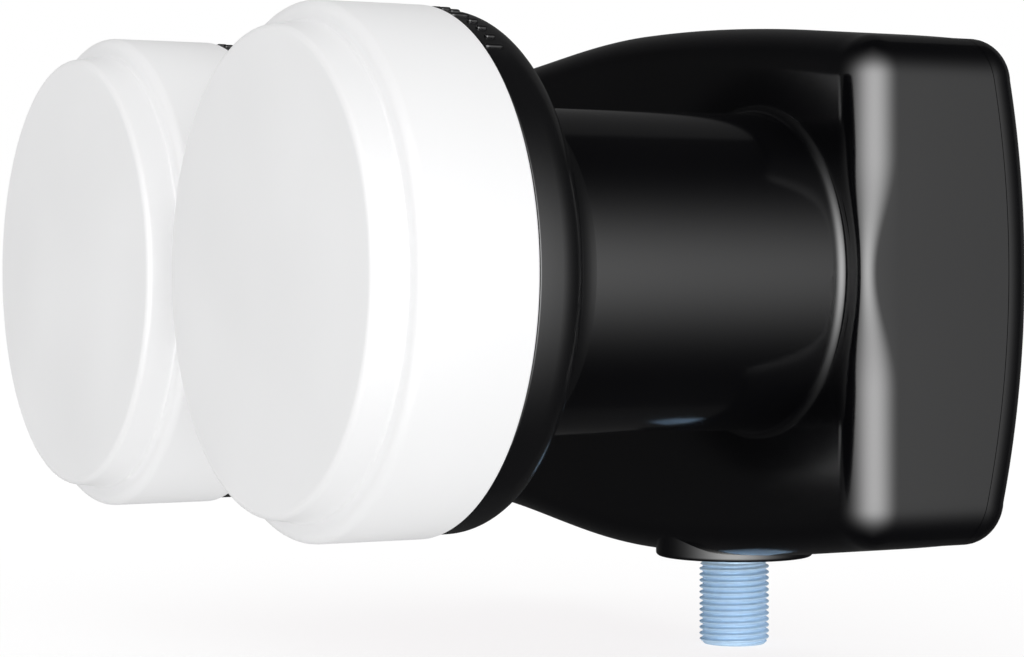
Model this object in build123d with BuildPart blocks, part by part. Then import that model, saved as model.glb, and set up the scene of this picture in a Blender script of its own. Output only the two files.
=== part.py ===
"""A twin-feed satellite LNB: two capped feed horns side by side on one sealed housing with an F connector.

Millimetres. The origin is on the axis of the right-hand neck, in the stretch that the dish arm's clamp holds.
The horns look along -Y, +X points from the left-hand horn to the right-hand one, and +Z is up.
"""
import math
import os

from build123d import *

os.makedirs("parts", exist_ok=True)

# Layout of the two feeds
feed_gap = 1.5               # between the widest parts of the two feeds
neck_radius = 20.0           # the standard 40 mm clamping neck
clamp_to_housing = 19.7      # from the origin to the housing's front face
clamp_to_collar = 15.2       # from the origin to the collar's thin rear edge
waveguide_radius = 9.75

# Housing
housing_wall = 2.0
housing_side_reach = 23.9    # from a horn axis to the side next to it
housing_top_shoulder = 29.1  # height of the flat shoulders over the horn axes
housing_top_arch = 3.4       # rise of the arch between them
housing_bottom_shoulder = 34.0
housing_bottom_arch = 3.85
shoulder_flat = 0.5          # of the shoulder, between a corner's round and the arch
housing_depth = 26.7         # from the front face to the middle of the crowned back
cover_depth = 4.7            # the rear cover's part of that depth
crown_radius = 125.0         # the back is crowned from top to bottom
corner_radius = 5.4
front_edge_radius = 5.0
pinched_edge_radius = 2.0    # the front edge is sharper where a neck comes close to it
pinch_half_height = 14.4
rear_edge_radius = 4.4
neck_root_radius = 1.2
neck_wall = 1.6
neck_engagement = 9.5        # how far the neck runs into the collar
seam_gap = 0.1               # between housing and rear cover at the seam

# Collar
collar_step = 0.45           # from the cap's band in to the collar's rim
collar_band = 2.9            # its straight rim
collar_round = 4.5           # the quarter round behind the rim
collar_root = 6.2            # the hollow round that leads on to the neck
collar_edge = 0.25           # wall of the collar's rear edge, round the neck
collar_neck_clearance = 0.1
collar_lip = 2.4             # the web between horn and neck end
skirt_clearance = 0.2        # between the cap and the skirt that it slides over
skirt_wall = 2.0
skirt_length = 6.4
tick_height = 0.35
tick_width = 0.8
tick_length = 1.25           # of a short tick, at the back of the rim
tick_margin = 0.3            # from the rim's ends to a long tick's ends
tick_pitch = 4.35            # degrees
ticks_each_side = 8
ticks_to_long = 4            # every fourth tick is a long one

# Cap
cap_wall = 1.5
cap_band_radius = 31.75
cap_step = 2.45              # from the band in to the stepped part
cap_taper = 0.6              # of the stepped part's side, from its foot to the face
cap_length = 19.2
cap_step_length = 4.3
cap_gap = 0.15               # between the cap's rim and the collar
cap_lip_radius = 0.9
cap_shoulder_radius = 1.4
cap_crease_radius = 0.4
cap_rim_radius = 0.4

# Seal rings of the caps
cap_seal_width = 1.6
cap_seal_height = 1.0
cap_seal_setback = 2.4       # from the collar's rim to the groove
seal_clearance = 0.05

# Horn
horn_disc_clearance = 0.25   # inside the collar's skirt
horn_disc_thickness = 2.3
horn_ring_count = 4
horn_ring_wall = 1.5
horn_ring_low = 3.4          # height of the ring next to the waveguide
horn_ring_high = 13.4        # height of the outermost ring
horn_ring_margin = 1.2       # from the outermost ring to the disc's edge
hub_wall = 2.85
hub_length = 8.5
hub_seat = 5.5               # how far the waveguide tube runs into the hub
press_clearance = 0.05

# Casting
tube_wall = 2.25
rib_thickness = 4.0
rib_front_gap = 1.0          # from the horn's hub to the front centring rib
rib_back_gap = 6.0           # from the rear centring rib to the housing's front face
rib_clearance = 0.1
plate_thickness = 3.0
plate_clearance = 0.4
plate_foot = 29.4            # from the horn axes down to the plate's lower edge
plate_corner = 3.0
rim_wall = 2.0
board_stand = 4.0            # from the plate to the board
post_radius = 3.0
screw_radius = 1.25
screw_clearance = 0.15
thread_clearance = 0.02
screw_columns = 4
screw_edge = 4.6             # from the plate's edge to a screw's axis
screw_head_radius = 2.3
screw_head_height = 1.5
screw_grip = 5.0

# Board and what is on it
board_thickness = 1.0
board_inset = 0.6
probe_inset = 2.75           # from the waveguide's axis to a probe's end
probe_width = 1.6
probe_thickness = 0.3
transistor_size = (2.9, 1.6, 1.1)
transistor_reach = 15.4      # from the waveguide's axis
second_stage = 5.0           # from the first transistor to the second
chip_size = (7.0, 7.0, 1.2)
chip_offset = 9.0            # from the middle of the board
chip_height = -8.0
regulator_size = (6.6, 6.2, 2.3)
regulator_offset = 8.0
low_row_height = -19.5
resonator_radius = 2.8
resonator_height = 2.2
resonator_offset = 8.5
resonator_rise = 10.5

# Shield lid
lid_thickness = 4.2
lid_skin = 1.0
lid_rib = 2.0
lid_rib_height = 1.5
cup_wall = 2.0
cup_depth = 6.5              # a quarter wave behind the board
cup_end = 1.5
tuning_radius = 2.0
tuning_length = 4.4
tuning_gap = 0.5             # from the puck to the tuning screw
tuning_boss_wall = 1.4
tuning_boss_height = 1.5

# F connector
connector_offset = 10.5      # from the middle of the housing towards the right-hand horn
connector_setback = 11.4     # behind the housing's front face
boss_wall = 3.4
boss_drop = 38.4             # from the horn axes down to the boss's end
boss_edge_radius = 0.5
boss_floor = 1.6
boss_pocket_clearance = 0.6
thread_radius = 4.7
thread_length = 11.9
thread_chamfer = 0.6
thread_relief = 0.5          # undercut between the thread and the flange
thread_relief_show = 0.35    # of the undercut below the seal ring
shell_wall = 1.35
flange_step = 1.9            # from the thread out to the flange's rim
flange_thickness = 1.6
flange_clearance = 0.1
spigot_wall = 0.85
spigot_length = 5.5
insulator_clearance = 0.05
insulator_inset = 0.6
insulator_guide = 0.5
contact_radius = 1.1
contact_bore = 0.5
contact_sleeve = 9.0
pin_radius = 0.45
pin_reach = 3.0              # past the connector block, over the board
contact_bore_depth = 8.0
contact_slot = 0.25
contact_slot_depth = 5.0
connector_seal_width = 0.95
connector_seal_stand = 0.45
connector_seal_edge = 0.3
block_clearance = 0.3        # round the connector block, in the boss's pocket
block_web_height = 6.0       # of the web that joins the connector block to the plate

# Seam of the rear cover
tongue_depth = 3.0
tongue_wall = 1.6
tongue_clearance = 0.1
tongue_root = 1.4
cover_seal_height = 0.7
cover_seal_width = 1.0
cover_seal_setback = 1.0     # from the seam to the seal

# Working allowances
overrun = 1.0                # how far a cut or a cutting body runs past what it cuts
wide_overrun = 5.0           # the same for the blocks that trim the whole housing

# Worked-out sizes
horn_pitch = 2 * cap_band_radius + feed_gap
collar_radius = cap_band_radius - collar_step
cap_step_radius = cap_band_radius - cap_step
cap_face_radius = cap_step_radius - cap_taper
skirt_radius = cap_band_radius - cap_wall - skirt_clearance
skirt_bore = skirt_radius - skirt_wall
horn_disc_radius = skirt_bore - horn_disc_clearance
tube_radius = waveguide_radius + tube_wall
hub_bore = tube_radius + press_clearance
hub_radius = hub_bore + hub_wall
horn_ring_first = waveguide_radius + horn_ring_wall
horn_ring_last = horn_disc_radius - horn_ring_margin
neck_bore = neck_radius - neck_wall
shell_bore = thread_radius - shell_wall
spigot_radius = shell_bore + spigot_wall
flange_radius = thread_radius + flange_step
relief_radius = thread_radius - thread_relief
connector_seal_radius = thread_radius + seal_clearance + connector_seal_width
boss_pocket_radius = flange_radius + boss_pocket_clearance
boss_radius = boss_pocket_radius + boss_wall
block_radius = boss_pocket_radius - block_clearance

# Worked-out places
right_axis = 0.0
left_axis = -horn_pitch
middle = -horn_pitch / 2
half_width = horn_pitch / 2 + housing_side_reach
arch_half_width = half_width - corner_radius - shoulder_flat
front_y = clamp_to_housing
back_y = front_y + housing_depth
seam_y = back_y - cover_depth
collar_edge_y = -clamp_to_collar
collar_back_y = collar_edge_y - collar_root
collar_front_y = collar_back_y - collar_round - collar_band
tick_back_y = collar_back_y - collar_round - tick_margin
neck_end_y = collar_edge_y - neck_engagement
lip_front_y = neck_end_y - seal_clearance - collar_lip
cap_rear_y = collar_front_y - cap_gap
cap_face_y = cap_rear_y - cap_length
cap_step_y = cap_face_y + cap_step_length
disc_front_y = lip_front_y - horn_disc_thickness
hub_back_y = lip_front_y + hub_length
tube_front_y = hub_back_y - hub_seat
plate_y = front_y + housing_wall
plate_back_y = plate_y + plate_thickness
board_y = plate_back_y + board_stand
board_back_y = board_y + board_thickness
lid_back_y = board_back_y + lid_thickness
plate_half = half_width - housing_wall - plate_clearance
plate_top = housing_top_shoulder - housing_wall - plate_clearance
plate_height = plate_top + plate_foot
plate_middle = (plate_top - plate_foot) / 2
screw_pitch_x = 2 * (plate_half - screw_edge) / (screw_columns - 1)
screw_pitch_z = plate_height - 2 * screw_edge
top_z = housing_top_shoulder
bottom_z = -housing_bottom_shoulder
connector_x = middle + connector_offset
connector_y = front_y + connector_setback
boss_z = -boss_drop
thread_end_z = boss_z - thread_length
thread_top_z = boss_z - connector_seal_stand - thread_relief_show
flange_z = boss_z + boss_floor + flange_clearance
block_z = flange_z + flange_thickness
spigot_z = block_z + spigot_length
axes = (("right", right_axis), ("left", left_axis))


def at_axis(x):
    """The XY plane moved to a horn's axis, for a profile of radius across and depth along."""
    return Plane(origin=(x, 0, 0))


def spin_axis(x):
    return Axis((x, 0, 0), (0, 1, 0))


def facing(y):
    """The plane at depth y whose sketches read x across and z up, and whose extrusions go towards -Y."""
    return Plane.XZ.offset(-y)


def housing_outline(inset):
    """Front outline of the housing: straight sides, flat shoulders, and an arch in the top and the bottom."""
    side = half_width - inset
    top = top_z - inset
    bottom = bottom_z + inset
    with BuildSketch(mode=Mode.PRIVATE) as outline:
        with BuildLine():
            Line((-side, bottom), (-side, top))
            Line((-side, top), (-arch_half_width, top))
            Spline(
                (-arch_half_width, top),
                (0, top + housing_top_arch),
                (arch_half_width, top),
                tangents=((1, 0), (1, 0)),
            )
            Line((arch_half_width, top), (side, top))
            Line((side, top), (side, bottom))
            Line((side, bottom), (arch_half_width, bottom))
            Spline(
                (arch_half_width, bottom),
                (0, bottom - housing_bottom_arch),
                (-arch_half_width, bottom),
                tangents=((-1, 0), (-1, 0)),
            )
            Line((-arch_half_width, bottom), (-side, bottom))
        make_face()
        fillet([v for v in outline.vertices() if abs(abs(v.X) - side) < 0.001], corner_radius - inset)
    return outline.sketch.moved(Location((middle, 0)))


def crown(y, z):
    """Depth at height z of a surface that is crowned as the back is and reaches y at the horn axes."""
    return y - crown_radius + math.sqrt(crown_radius**2 - z**2)


def crowned_block(near_y, far_y, near_crowned=True):
    """A block across the whole housing with a crowned far face, and a crowned or flat near face."""
    low = bottom_z - housing_bottom_arch - wide_overrun
    high = top_z + housing_top_arch + wide_overrun
    with BuildPart(mode=Mode.PRIVATE) as block:
        with BuildSketch(Plane.YZ.offset(middle)):
            with BuildLine():
                if near_crowned:
                    ThreePointArc((crown(near_y, low), low), (near_y, 0), (crown(near_y, high), high))
                    Line((crown(near_y, high), high), (crown(far_y, high), high))
                    Line((crown(far_y, low), low), (crown(near_y, low), low))
                else:
                    Line((near_y, low), (near_y, high))
                    Line((near_y, high), (crown(far_y, high), high))
                    Line((crown(far_y, low), low), (near_y, low))
                ThreePointArc((crown(far_y, high), high), (far_y, 0), (crown(far_y, low), low))
            make_face()
        extrude(amount=half_width + wide_overrun, both=True)
    return block.part


def rim_band(outer_inset, inner_inset, near_y, far_y):
    """A band that follows the housing's outline, between two insets and two crowned depths."""
    with BuildPart(mode=Mode.PRIVATE) as band:
        with BuildSketch(facing(front_y)):
            add(housing_outline(outer_inset))
            add(housing_outline(inner_inset), mode=Mode.SUBTRACT)
        extrude(amount=-housing_depth)
        add(crowned_block(near_y, far_y), mode=Mode.INTERSECT)
    return band.part


def boss_notch():
    """The round space that the connector boss takes out of the cover and its seal."""
    with BuildPart(mode=Mode.PRIVATE) as notch:
        with BuildSketch(Plane.XY.offset(boss_z - overrun)):
            with Locations((connector_x, connector_y)):
                Circle(boss_radius + seam_gap)
        extrude(amount=spigot_z - boss_z + overrun)
    return notch.part


def pinched_slab():
    """The housing's waist: its side edges go from the full front radius to a sharper one beside each neck."""
    steps = 8
    with BuildPart(mode=Mode.PRIVATE) as slab:
        for step in range(steps + 1):
            z = pinch_half_height * (2 * step / steps - 1)
            share = math.cos(math.pi / 2 * z / pinch_half_height) ** 2
            radius = front_edge_radius - share * (front_edge_radius - pinched_edge_radius)
            with BuildSketch(Plane.XY.offset(z)):
                with BuildLine():
                    left = middle - half_width
                    right = middle + half_width
                    Line((left, back_y), (left, front_y + radius))
                    RadiusArc((left, front_y + radius), (left + radius, front_y), -radius)
                    Line((left + radius, front_y), (right - radius, front_y))
                    RadiusArc((right - radius, front_y), (right, front_y + radius), -radius)
                    Line((right, front_y + radius), (right, back_y))
                    Line((right, back_y), (left, back_y))
                make_face()
        loft()
    return slab.part


# Feed caps, collars, seal rings and horns, one of each on either axis
for name, x in axes:
    with BuildPart() as cap:
        inner_face = cap_face_y + cap_wall
        inner_step = cap_step_y + cap_wall
        cap_rounds = (
            0,
            cap_lip_radius,
            cap_crease_radius,
            cap_shoulder_radius,
            cap_rim_radius,
            0,
            0,
            0,
            0,
            0,
        )
        with BuildSketch(at_axis(x)):
            with BuildLine():
                FilletPolyline(
                    (0, cap_face_y),
                    (cap_face_radius, cap_face_y),
                    (cap_step_radius, cap_step_y),
                    (cap_band_radius, cap_step_y),
                    (cap_band_radius, cap_rear_y),
                    (cap_band_radius - cap_wall, cap_rear_y),
                    (cap_band_radius - cap_wall, inner_step),
                    (cap_face_radius - cap_wall, inner_step),
                    (cap_face_radius - cap_wall, inner_face),
                    (0, inner_face),
                    radius=cap_rounds,
                    close=True,
                )
            make_face()
        revolve(axis=spin_axis(x))
    cap.part.label = f"cap_{name}"
    export_step(cap.part, f"parts/cap_{name}.step")

    with BuildPart() as collar:
        groove_back = collar_front_y - cap_seal_setback
        groove_front = groove_back - cap_seal_width - 2 * seal_clearance
        groove_floor = skirt_radius - cap_seal_height
        skirt_front = collar_front_y - skirt_length
        seat = neck_radius + collar_neck_clearance
        seat_end = neck_end_y - seal_clearance
        lip_bore = hub_radius + collar_neck_clearance
        root_end = (seat + collar_edge, collar_edge_y)
        root_start = (seat + collar_edge + collar_root, collar_back_y)
        with BuildSketch(at_axis(x)):
            with BuildLine():
                Line((collar_radius - collar_round, collar_back_y), root_start)
                RadiusArc(root_start, root_end, collar_root)
                Polyline(
                    root_end,
                    (seat, collar_edge_y),
                    (seat, seat_end),
                    (lip_bore, seat_end),
                    (lip_bore, lip_front_y),
                    (skirt_bore, lip_front_y),
                    (skirt_bore, skirt_front),
                    (skirt_radius, skirt_front),
                    (skirt_radius, groove_front),
                    (groove_floor, groove_front),
                    (groove_floor, groove_back),
                    (skirt_radius, groove_back),
                    (skirt_radius, collar_front_y),
                    (collar_radius, collar_front_y),
                    (collar_radius, collar_back_y - collar_round),
                )
                RadiusArc(
                    (collar_radius, collar_back_y - collar_round),
                    (collar_radius - collar_round, collar_back_y),
                    -collar_round,
                )
            make_face()
        revolve(axis=spin_axis(x))
        ticks = range(-ticks_each_side, ticks_each_side + 1)
        long_ticks = [tick for tick in ticks if tick % ticks_to_long == 0]
        short_ticks = [tick for tick in ticks if tick % ticks_to_long != 0]
        for length, places in ((collar_band - 2 * tick_margin, long_ticks), (tick_length, short_ticks)):
            with BuildSketch(facing(tick_back_y - length)):
                with Locations((x, 0)):
                    for tick in places:
                        with PolarLocations(collar_radius, 1, start_angle=90 + tick * tick_pitch):
                            Rectangle(2 * tick_height, tick_width)
            extrude(amount=-length)
    collar.part.label = f"collar_{name}"
    export_step(collar.part, f"parts/collar_{name}.step")

    with BuildPart() as cap_seal:
        ring_inner = groove_floor + seal_clearance
        ring_outer = cap_band_radius - cap_wall - seal_clearance
        with BuildSketch(at_axis(x)):
            with Locations(((ring_inner + ring_outer) / 2, (groove_front + groove_back) / 2)):
                RectangleRounded(ring_outer - ring_inner, cap_seal_width, cap_seal_height / 3)
        revolve(axis=spin_axis(x))
    cap_seal.part.label = f"cap_seal_{name}"
    export_step(cap_seal.part, f"parts/cap_seal_{name}.step")

    with BuildPart() as horn:
        with BuildSketch(at_axis(x)):
            with BuildLine():
                Polyline(
                    (waveguide_radius, disc_front_y),
                    (horn_disc_radius, disc_front_y),
                    (horn_disc_radius, lip_front_y),
                    (hub_radius, lip_front_y),
                    (hub_radius, hub_back_y),
                    (hub_bore, hub_back_y),
                    (hub_bore, tube_front_y),
                    (waveguide_radius, tube_front_y),
                    close=True,
                )
            make_face()
            for ring in range(horn_ring_count):
                share = ring / (horn_ring_count - 1)
                ring_radius = horn_ring_first + share * (horn_ring_last - horn_ring_first)
                ring_height = horn_ring_low + share * (horn_ring_high - horn_ring_low)
                with Locations((ring_radius - horn_ring_wall / 2, disc_front_y - ring_height / 2)):
                    Rectangle(horn_ring_wall, ring_height)
        revolve(axis=spin_axis(x))
    horn.part.label = f"horn_{name}"
    export_step(horn.part, f"parts/horn_{name}.step")

# Front housing: one moulding of the box, the two necks and the connector boss
with BuildPart(mode=Mode.PRIVATE) as housing_cavity:
    with BuildSketch(facing(plate_y)):
        add(housing_outline(housing_wall))
    extrude(amount=-housing_depth)
    fillet(housing_cavity.faces().sort_by(Axis.Y)[0].edges(), front_edge_radius - housing_wall)

with BuildPart() as front_housing:
    with BuildSketch(facing(front_y)):
        add(housing_outline(0))
    extrude(amount=-housing_depth)
    fillet(front_housing.faces().sort_by(Axis.Y)[0].edges(), front_edge_radius)
    with Locations((middle, front_y + housing_depth / 2, 0)):
        Box(
            2 * (half_width + wide_overrun),
            housing_depth + 2 * wide_overrun,
            2 * pinch_half_height,
            mode=Mode.SUBTRACT,
        )
    add(pinched_slab())
    add(crowned_block(front_y - overrun, seam_y - seam_gap, False), mode=Mode.INTERSECT)
    with BuildSketch(Plane.XY.offset(boss_z)):
        with Locations((connector_x, connector_y)):
            Circle(boss_radius)
    extrude(amount=boss_drop - housing_bottom_shoulder + front_edge_radius)
    fillet(front_housing.edges().filter_by(GeomType.CIRCLE).group_by(Axis.Z)[0], boss_edge_radius)
    add(housing_cavity.part, mode=Mode.SUBTRACT)
    for name, x in axes:
        with BuildSketch(at_axis(x)):
            with BuildLine():
                root = (neck_radius, front_y - neck_root_radius)
                foot = (neck_radius + neck_root_radius, front_y)
                RadiusArc(root, foot, neck_root_radius)
                Polyline(
                    foot,
                    (neck_radius + neck_root_radius, plate_y),
                    (neck_bore, plate_y),
                    (neck_bore, neck_end_y),
                    (neck_radius, neck_end_y),
                    root,
                )
            make_face()
        revolve(axis=spin_axis(x))
        with BuildSketch(facing(front_y - overrun)):
            with Locations((x, 0)):
                Circle(neck_bore)
        extrude(amount=-housing_wall - 2 * overrun, mode=Mode.SUBTRACT)
    with BuildSketch(Plane.XY.offset(boss_z + boss_floor)):
        with Locations((connector_x, connector_y)):
            Circle(boss_pocket_radius)
    extrude(amount=spigot_z - boss_z, mode=Mode.SUBTRACT)
    with BuildSketch(Plane.XY.offset(boss_z - overrun)):
        with Locations((connector_x, connector_y)):
            Circle(connector_seal_radius + seal_clearance)
    extrude(amount=boss_floor + 2 * overrun, mode=Mode.SUBTRACT)
front_housing.part.label = "front_housing"
export_step(front_housing.part, "parts/front_housing.step")

# Rear cover, crowned, with a tongue that runs into the housing and carries the seal
tongue_inset = housing_wall + tongue_clearance
groove_end = seam_y - cover_seal_setback
groove_start = groove_end - cover_seal_width - 2 * seal_clearance

with BuildPart(mode=Mode.PRIVATE) as cover_cavity:
    with BuildSketch(facing(front_y)):
        add(housing_outline(housing_wall))
    extrude(amount=-housing_depth)
    add(crowned_block(front_y, back_y - housing_wall, False), mode=Mode.INTERSECT)
    fillet(cover_cavity.faces().sort_by(Axis.Y)[-1].edges(), rear_edge_radius - housing_wall)

with BuildPart() as rear_cover:
    with BuildSketch(facing(front_y)):
        add(housing_outline(0))
    extrude(amount=-housing_depth - overrun)
    add(crowned_block(front_y, back_y, False), mode=Mode.INTERSECT)
    fillet(rear_cover.faces().sort_by(Axis.Y)[-1].edges(), rear_edge_radius)
    add(crowned_block(seam_y, back_y + overrun), mode=Mode.INTERSECT)
    add(cover_cavity.part, mode=Mode.SUBTRACT)
    add(rim_band(tongue_inset, tongue_inset + tongue_wall, seam_y - tongue_depth, seam_y + tongue_root))
    add(rim_band(housing_wall / 2, tongue_inset + tongue_wall, seam_y, seam_y + tongue_root))
    groove = rim_band(tongue_inset - overrun, tongue_inset + cover_seal_height, groove_start, groove_end)
    add(groove, mode=Mode.SUBTRACT)
    add(boss_notch(), mode=Mode.SUBTRACT)
rear_cover.part.label = "rear_cover"
export_step(rear_cover.part, "parts/rear_cover.step")

with BuildPart() as cover_seal:
    add(
        rim_band(
            housing_wall + seal_clearance,
            tongue_inset + cover_seal_height - seal_clearance,
            groove_start + seal_clearance,
            groove_end - seal_clearance,
        )
    )
    add(boss_notch(), mode=Mode.SUBTRACT)
cover_seal.part.label = "cover_seal"
export_step(cover_seal.part, "parts/cover_seal.step")

# Waveguide casting: plate, two round waveguides, the rim and posts under the board, and the connector block
screw_places = [
    (middle + screw_pitch_x * (column - (screw_columns - 1) / 2), plate_middle + row * screw_pitch_z / 2)
    for column in range(screw_columns)
    for row in (-1, 1)
]
rib_front_y = hub_back_y + rib_front_gap
rib_rear_y = front_y - rib_back_gap - rib_thickness
with BuildPart() as waveguide_casting:
    with BuildSketch(facing(plate_y)):
        with Locations((middle, plate_middle)):
            RectangleRounded(2 * plate_half, plate_height, plate_corner)
    extrude(amount=-plate_thickness - board_stand)
    fillet(waveguide_casting.faces().sort_by(Axis.Y)[0].edges(), plate_corner - plate_clearance)
    with BuildSketch(facing(plate_back_y)):
        with Locations((middle, plate_middle)):
            RectangleRounded(
                2 * (plate_half - rim_wall), plate_height - 2 * rim_wall, plate_corner - rim_wall
            )
        with Locations(*screw_places):
            Circle(post_radius, mode=Mode.SUBTRACT)
    extrude(amount=-board_stand, mode=Mode.SUBTRACT)
    for name, x in axes:
        with BuildSketch(facing(tube_front_y)):
            with Locations((x, 0)):
                Circle(tube_radius)
        extrude(amount=tube_front_y - board_y)
        for rib_y in (rib_front_y, rib_rear_y):
            with BuildSketch(facing(rib_y)):
                with Locations((x, 0)):
                    Circle(neck_bore - rib_clearance)
            extrude(amount=-rib_thickness)
    with BuildSketch(Plane.XY.offset(block_z)):
        with Locations((connector_x, connector_y)):
            Circle(block_radius)
    extrude(amount=spigot_length)
    with BuildSketch(facing(plate_back_y - plate_thickness / 2)):
        with Locations((connector_x, spigot_z)):
            Rectangle(2 * block_radius, block_web_height)
    extrude(amount=-board_stand - plate_thickness / 2)
    with BuildSketch(Plane.XY.offset(block_z - overrun)):
        with Locations((connector_x, connector_y)):
            Circle(spigot_radius + press_clearance)
    extrude(amount=spigot_length + 2 * overrun, mode=Mode.SUBTRACT)
    for name, x in axes:
        with BuildSketch(facing(tube_front_y - overrun)):
            with Locations((x, 0)):
                Circle(waveguide_radius)
        extrude(amount=tube_front_y - board_y - 2 * overrun, mode=Mode.SUBTRACT)
    with BuildSketch(facing(board_y - screw_grip)):
        with Locations(*screw_places):
            Circle(screw_radius + thread_clearance)
    extrude(amount=-screw_grip, mode=Mode.SUBTRACT)
waveguide_casting.part.label = "waveguide_casting"
export_step(waveguide_casting.part, "parts/waveguide_casting.step")

# Circuit board, cut out round the waveguides
board_width = 2 * (plate_half - board_inset)
board_height = plate_height - 2 * board_inset
with BuildPart() as circuit_board:
    with BuildSketch(facing(board_y)):
        with Locations((middle, plate_middle)):
            RectangleRounded(board_width, board_height, plate_corner - board_inset)
        with Locations(*screw_places):
            Circle(screw_radius + screw_clearance, mode=Mode.SUBTRACT)
        with Locations((right_axis, 0), (left_axis, 0)):
            Circle(waveguide_radius, mode=Mode.SUBTRACT)
    extrude(amount=-board_thickness)
circuit_board.part.label = "circuit_board"
export_step(circuit_board.part, "parts/circuit_board.step")

# Pick-up probes: in each waveguide one strip from below and one from the side, at right angles
probe_length = math.sqrt(waveguide_radius**2 - (probe_width / 2) ** 2) - probe_inset
probe_y = board_y + (board_thickness - probe_thickness) / 2
with BuildPart() as probes:
    with BuildSketch(facing(probe_y)):
        for x, inward in ((right_axis, -1), (left_axis, 1)):
            with Locations((x, -probe_inset - probe_length / 2)):
                Rectangle(probe_width, probe_length)
            with Locations((x + inward * (probe_inset + probe_length / 2), 0)):
                Rectangle(probe_length, probe_width)
    extrude(amount=-probe_thickness)
probes.part.label = "probes"
export_step(probes.part, "parts/probes.step")

# Amplifier transistors, two in line after each probe
with BuildPart() as transistors:
    with BuildSketch(facing(board_back_y)):
        for x, inward in ((right_axis, -1), (left_axis, 1)):
            for reach in (transistor_reach, transistor_reach + second_stage):
                with Locations((x, -reach)):
                    Rectangle(transistor_size[0], transistor_size[1])
            with Locations((x + inward * transistor_reach, -transistor_size[1])):
                Rectangle(transistor_size[0], transistor_size[1])
    extrude(amount=-transistor_size[2])
transistors.part.label = "transistors"
export_step(transistors.part, "parts/transistors.step")

# Mixer and switch chips, and the supply regulator
chip_places = ((-chip_offset, chip_height), (chip_offset, chip_height), (-chip_offset, low_row_height))
with BuildPart() as control_chips:
    with BuildSketch(facing(board_back_y)):
        for across, up in chip_places:
            with Locations((middle + across, up)):
                Rectangle(chip_size[0], chip_size[1])
    extrude(amount=-chip_size[2])
control_chips.part.label = "control_chips"
export_step(control_chips.part, "parts/control_chips.step")

with BuildPart() as regulator:
    with BuildSketch(facing(board_back_y)):
        with Locations((middle + regulator_offset, low_row_height)):
            Rectangle(regulator_size[0], regulator_size[1])
    extrude(amount=-regulator_size[2])
regulator.part.label = "regulator"
export_step(regulator.part, "parts/regulator.step")

# Ceramic pucks that set the two oscillators
puck_places = ((middle - resonator_offset, resonator_rise), (middle + resonator_offset, resonator_rise))
with BuildPart() as resonators:
    with BuildSketch(facing(board_back_y)):
        with Locations(*puck_places):
            Circle(resonator_radius)
    extrude(amount=-resonator_height)
resonators.part.label = "resonators"
export_step(resonators.part, "parts/resonators.step")

# Shield lid: screening pockets over the board, the closed waveguide ends, and bosses for the tuning screws
cup_radius = waveguide_radius + cup_wall
pocket_width = board_width - 2 * lid_rib
pocket_height = board_height - 2 * lid_rib
with BuildPart() as shield_lid:
    with BuildSketch(facing(board_back_y)):
        with Locations((middle, plate_middle)):
            RectangleRounded(board_width, board_height, plate_corner - board_inset)
    extrude(amount=-lid_thickness)
    with BuildSketch(facing(board_back_y)):
        with Locations((middle, plate_middle)):
            Rectangle(pocket_width, pocket_height)
        with Locations(*screw_places):
            Circle(post_radius, mode=Mode.SUBTRACT)
        with Locations((right_axis, 0), (left_axis, 0)):
            Circle(cup_radius, mode=Mode.SUBTRACT)
        with Locations((middle, lid_rib_height)):
            Rectangle(horn_pitch - 2 * waveguide_radius, lid_rib, mode=Mode.SUBTRACT)
        with Locations((middle, (lid_rib_height + plate_top) / 2)):
            Rectangle(lid_rib, plate_top - lid_rib_height, mode=Mode.SUBTRACT)
        with Locations((connector_x, plate_middle - pocket_height / 2)):
            Rectangle(4 * pin_radius, 2 * lid_rib + overrun)
    extrude(amount=-lid_thickness + lid_skin, mode=Mode.SUBTRACT)
    with BuildSketch(facing(board_back_y)):
        with Locations((right_axis, 0), (left_axis, 0)):
            Circle(cup_radius)
    extrude(amount=-cup_depth - cup_end)
    with BuildSketch(facing(lid_back_y)):
        with Locations(*puck_places):
            Circle(tuning_radius + tuning_boss_wall)
    extrude(amount=-tuning_boss_height)
    with BuildSketch(facing(board_back_y)):
        with Locations((right_axis, 0), (left_axis, 0)):
            Circle(waveguide_radius)
    extrude(amount=-cup_depth, mode=Mode.SUBTRACT)
    with BuildSketch(facing(board_back_y)):
        with Locations(*puck_places):
            Circle(tuning_radius + thread_clearance)
        with Locations(*screw_places):
            Circle(screw_radius + screw_clearance)
    extrude(amount=-lid_thickness - tuning_boss_height, mode=Mode.SUBTRACT)
shield_lid.part.label = "shield_lid"
export_step(shield_lid.part, "parts/shield_lid.step")

# Lid screws: cheese head and shank
with BuildPart() as lid_screws:
    with BuildSketch(facing(lid_back_y + screw_head_height)):
        with Locations(*screw_places):
            Circle(screw_head_radius)
    extrude(amount=screw_head_height)
    with BuildSketch(facing(lid_back_y)):
        with Locations(*screw_places):
            Circle(screw_radius)
    extrude(amount=lid_thickness + board_thickness + screw_grip)
lid_screws.part.label = "lid_screws"
export_step(lid_screws.part, "parts/lid_screws.step")

# Brass tuning screws, set over the pucks
with BuildPart() as tuning_screws:
    with BuildSketch(facing(board_back_y + resonator_height + tuning_gap)):
        with Locations(*puck_places):
            Circle(tuning_radius)
    extrude(amount=-tuning_length)
tuning_screws.part.label = "tuning_screws"
export_step(tuning_screws.part, "parts/tuning_screws.step")

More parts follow.
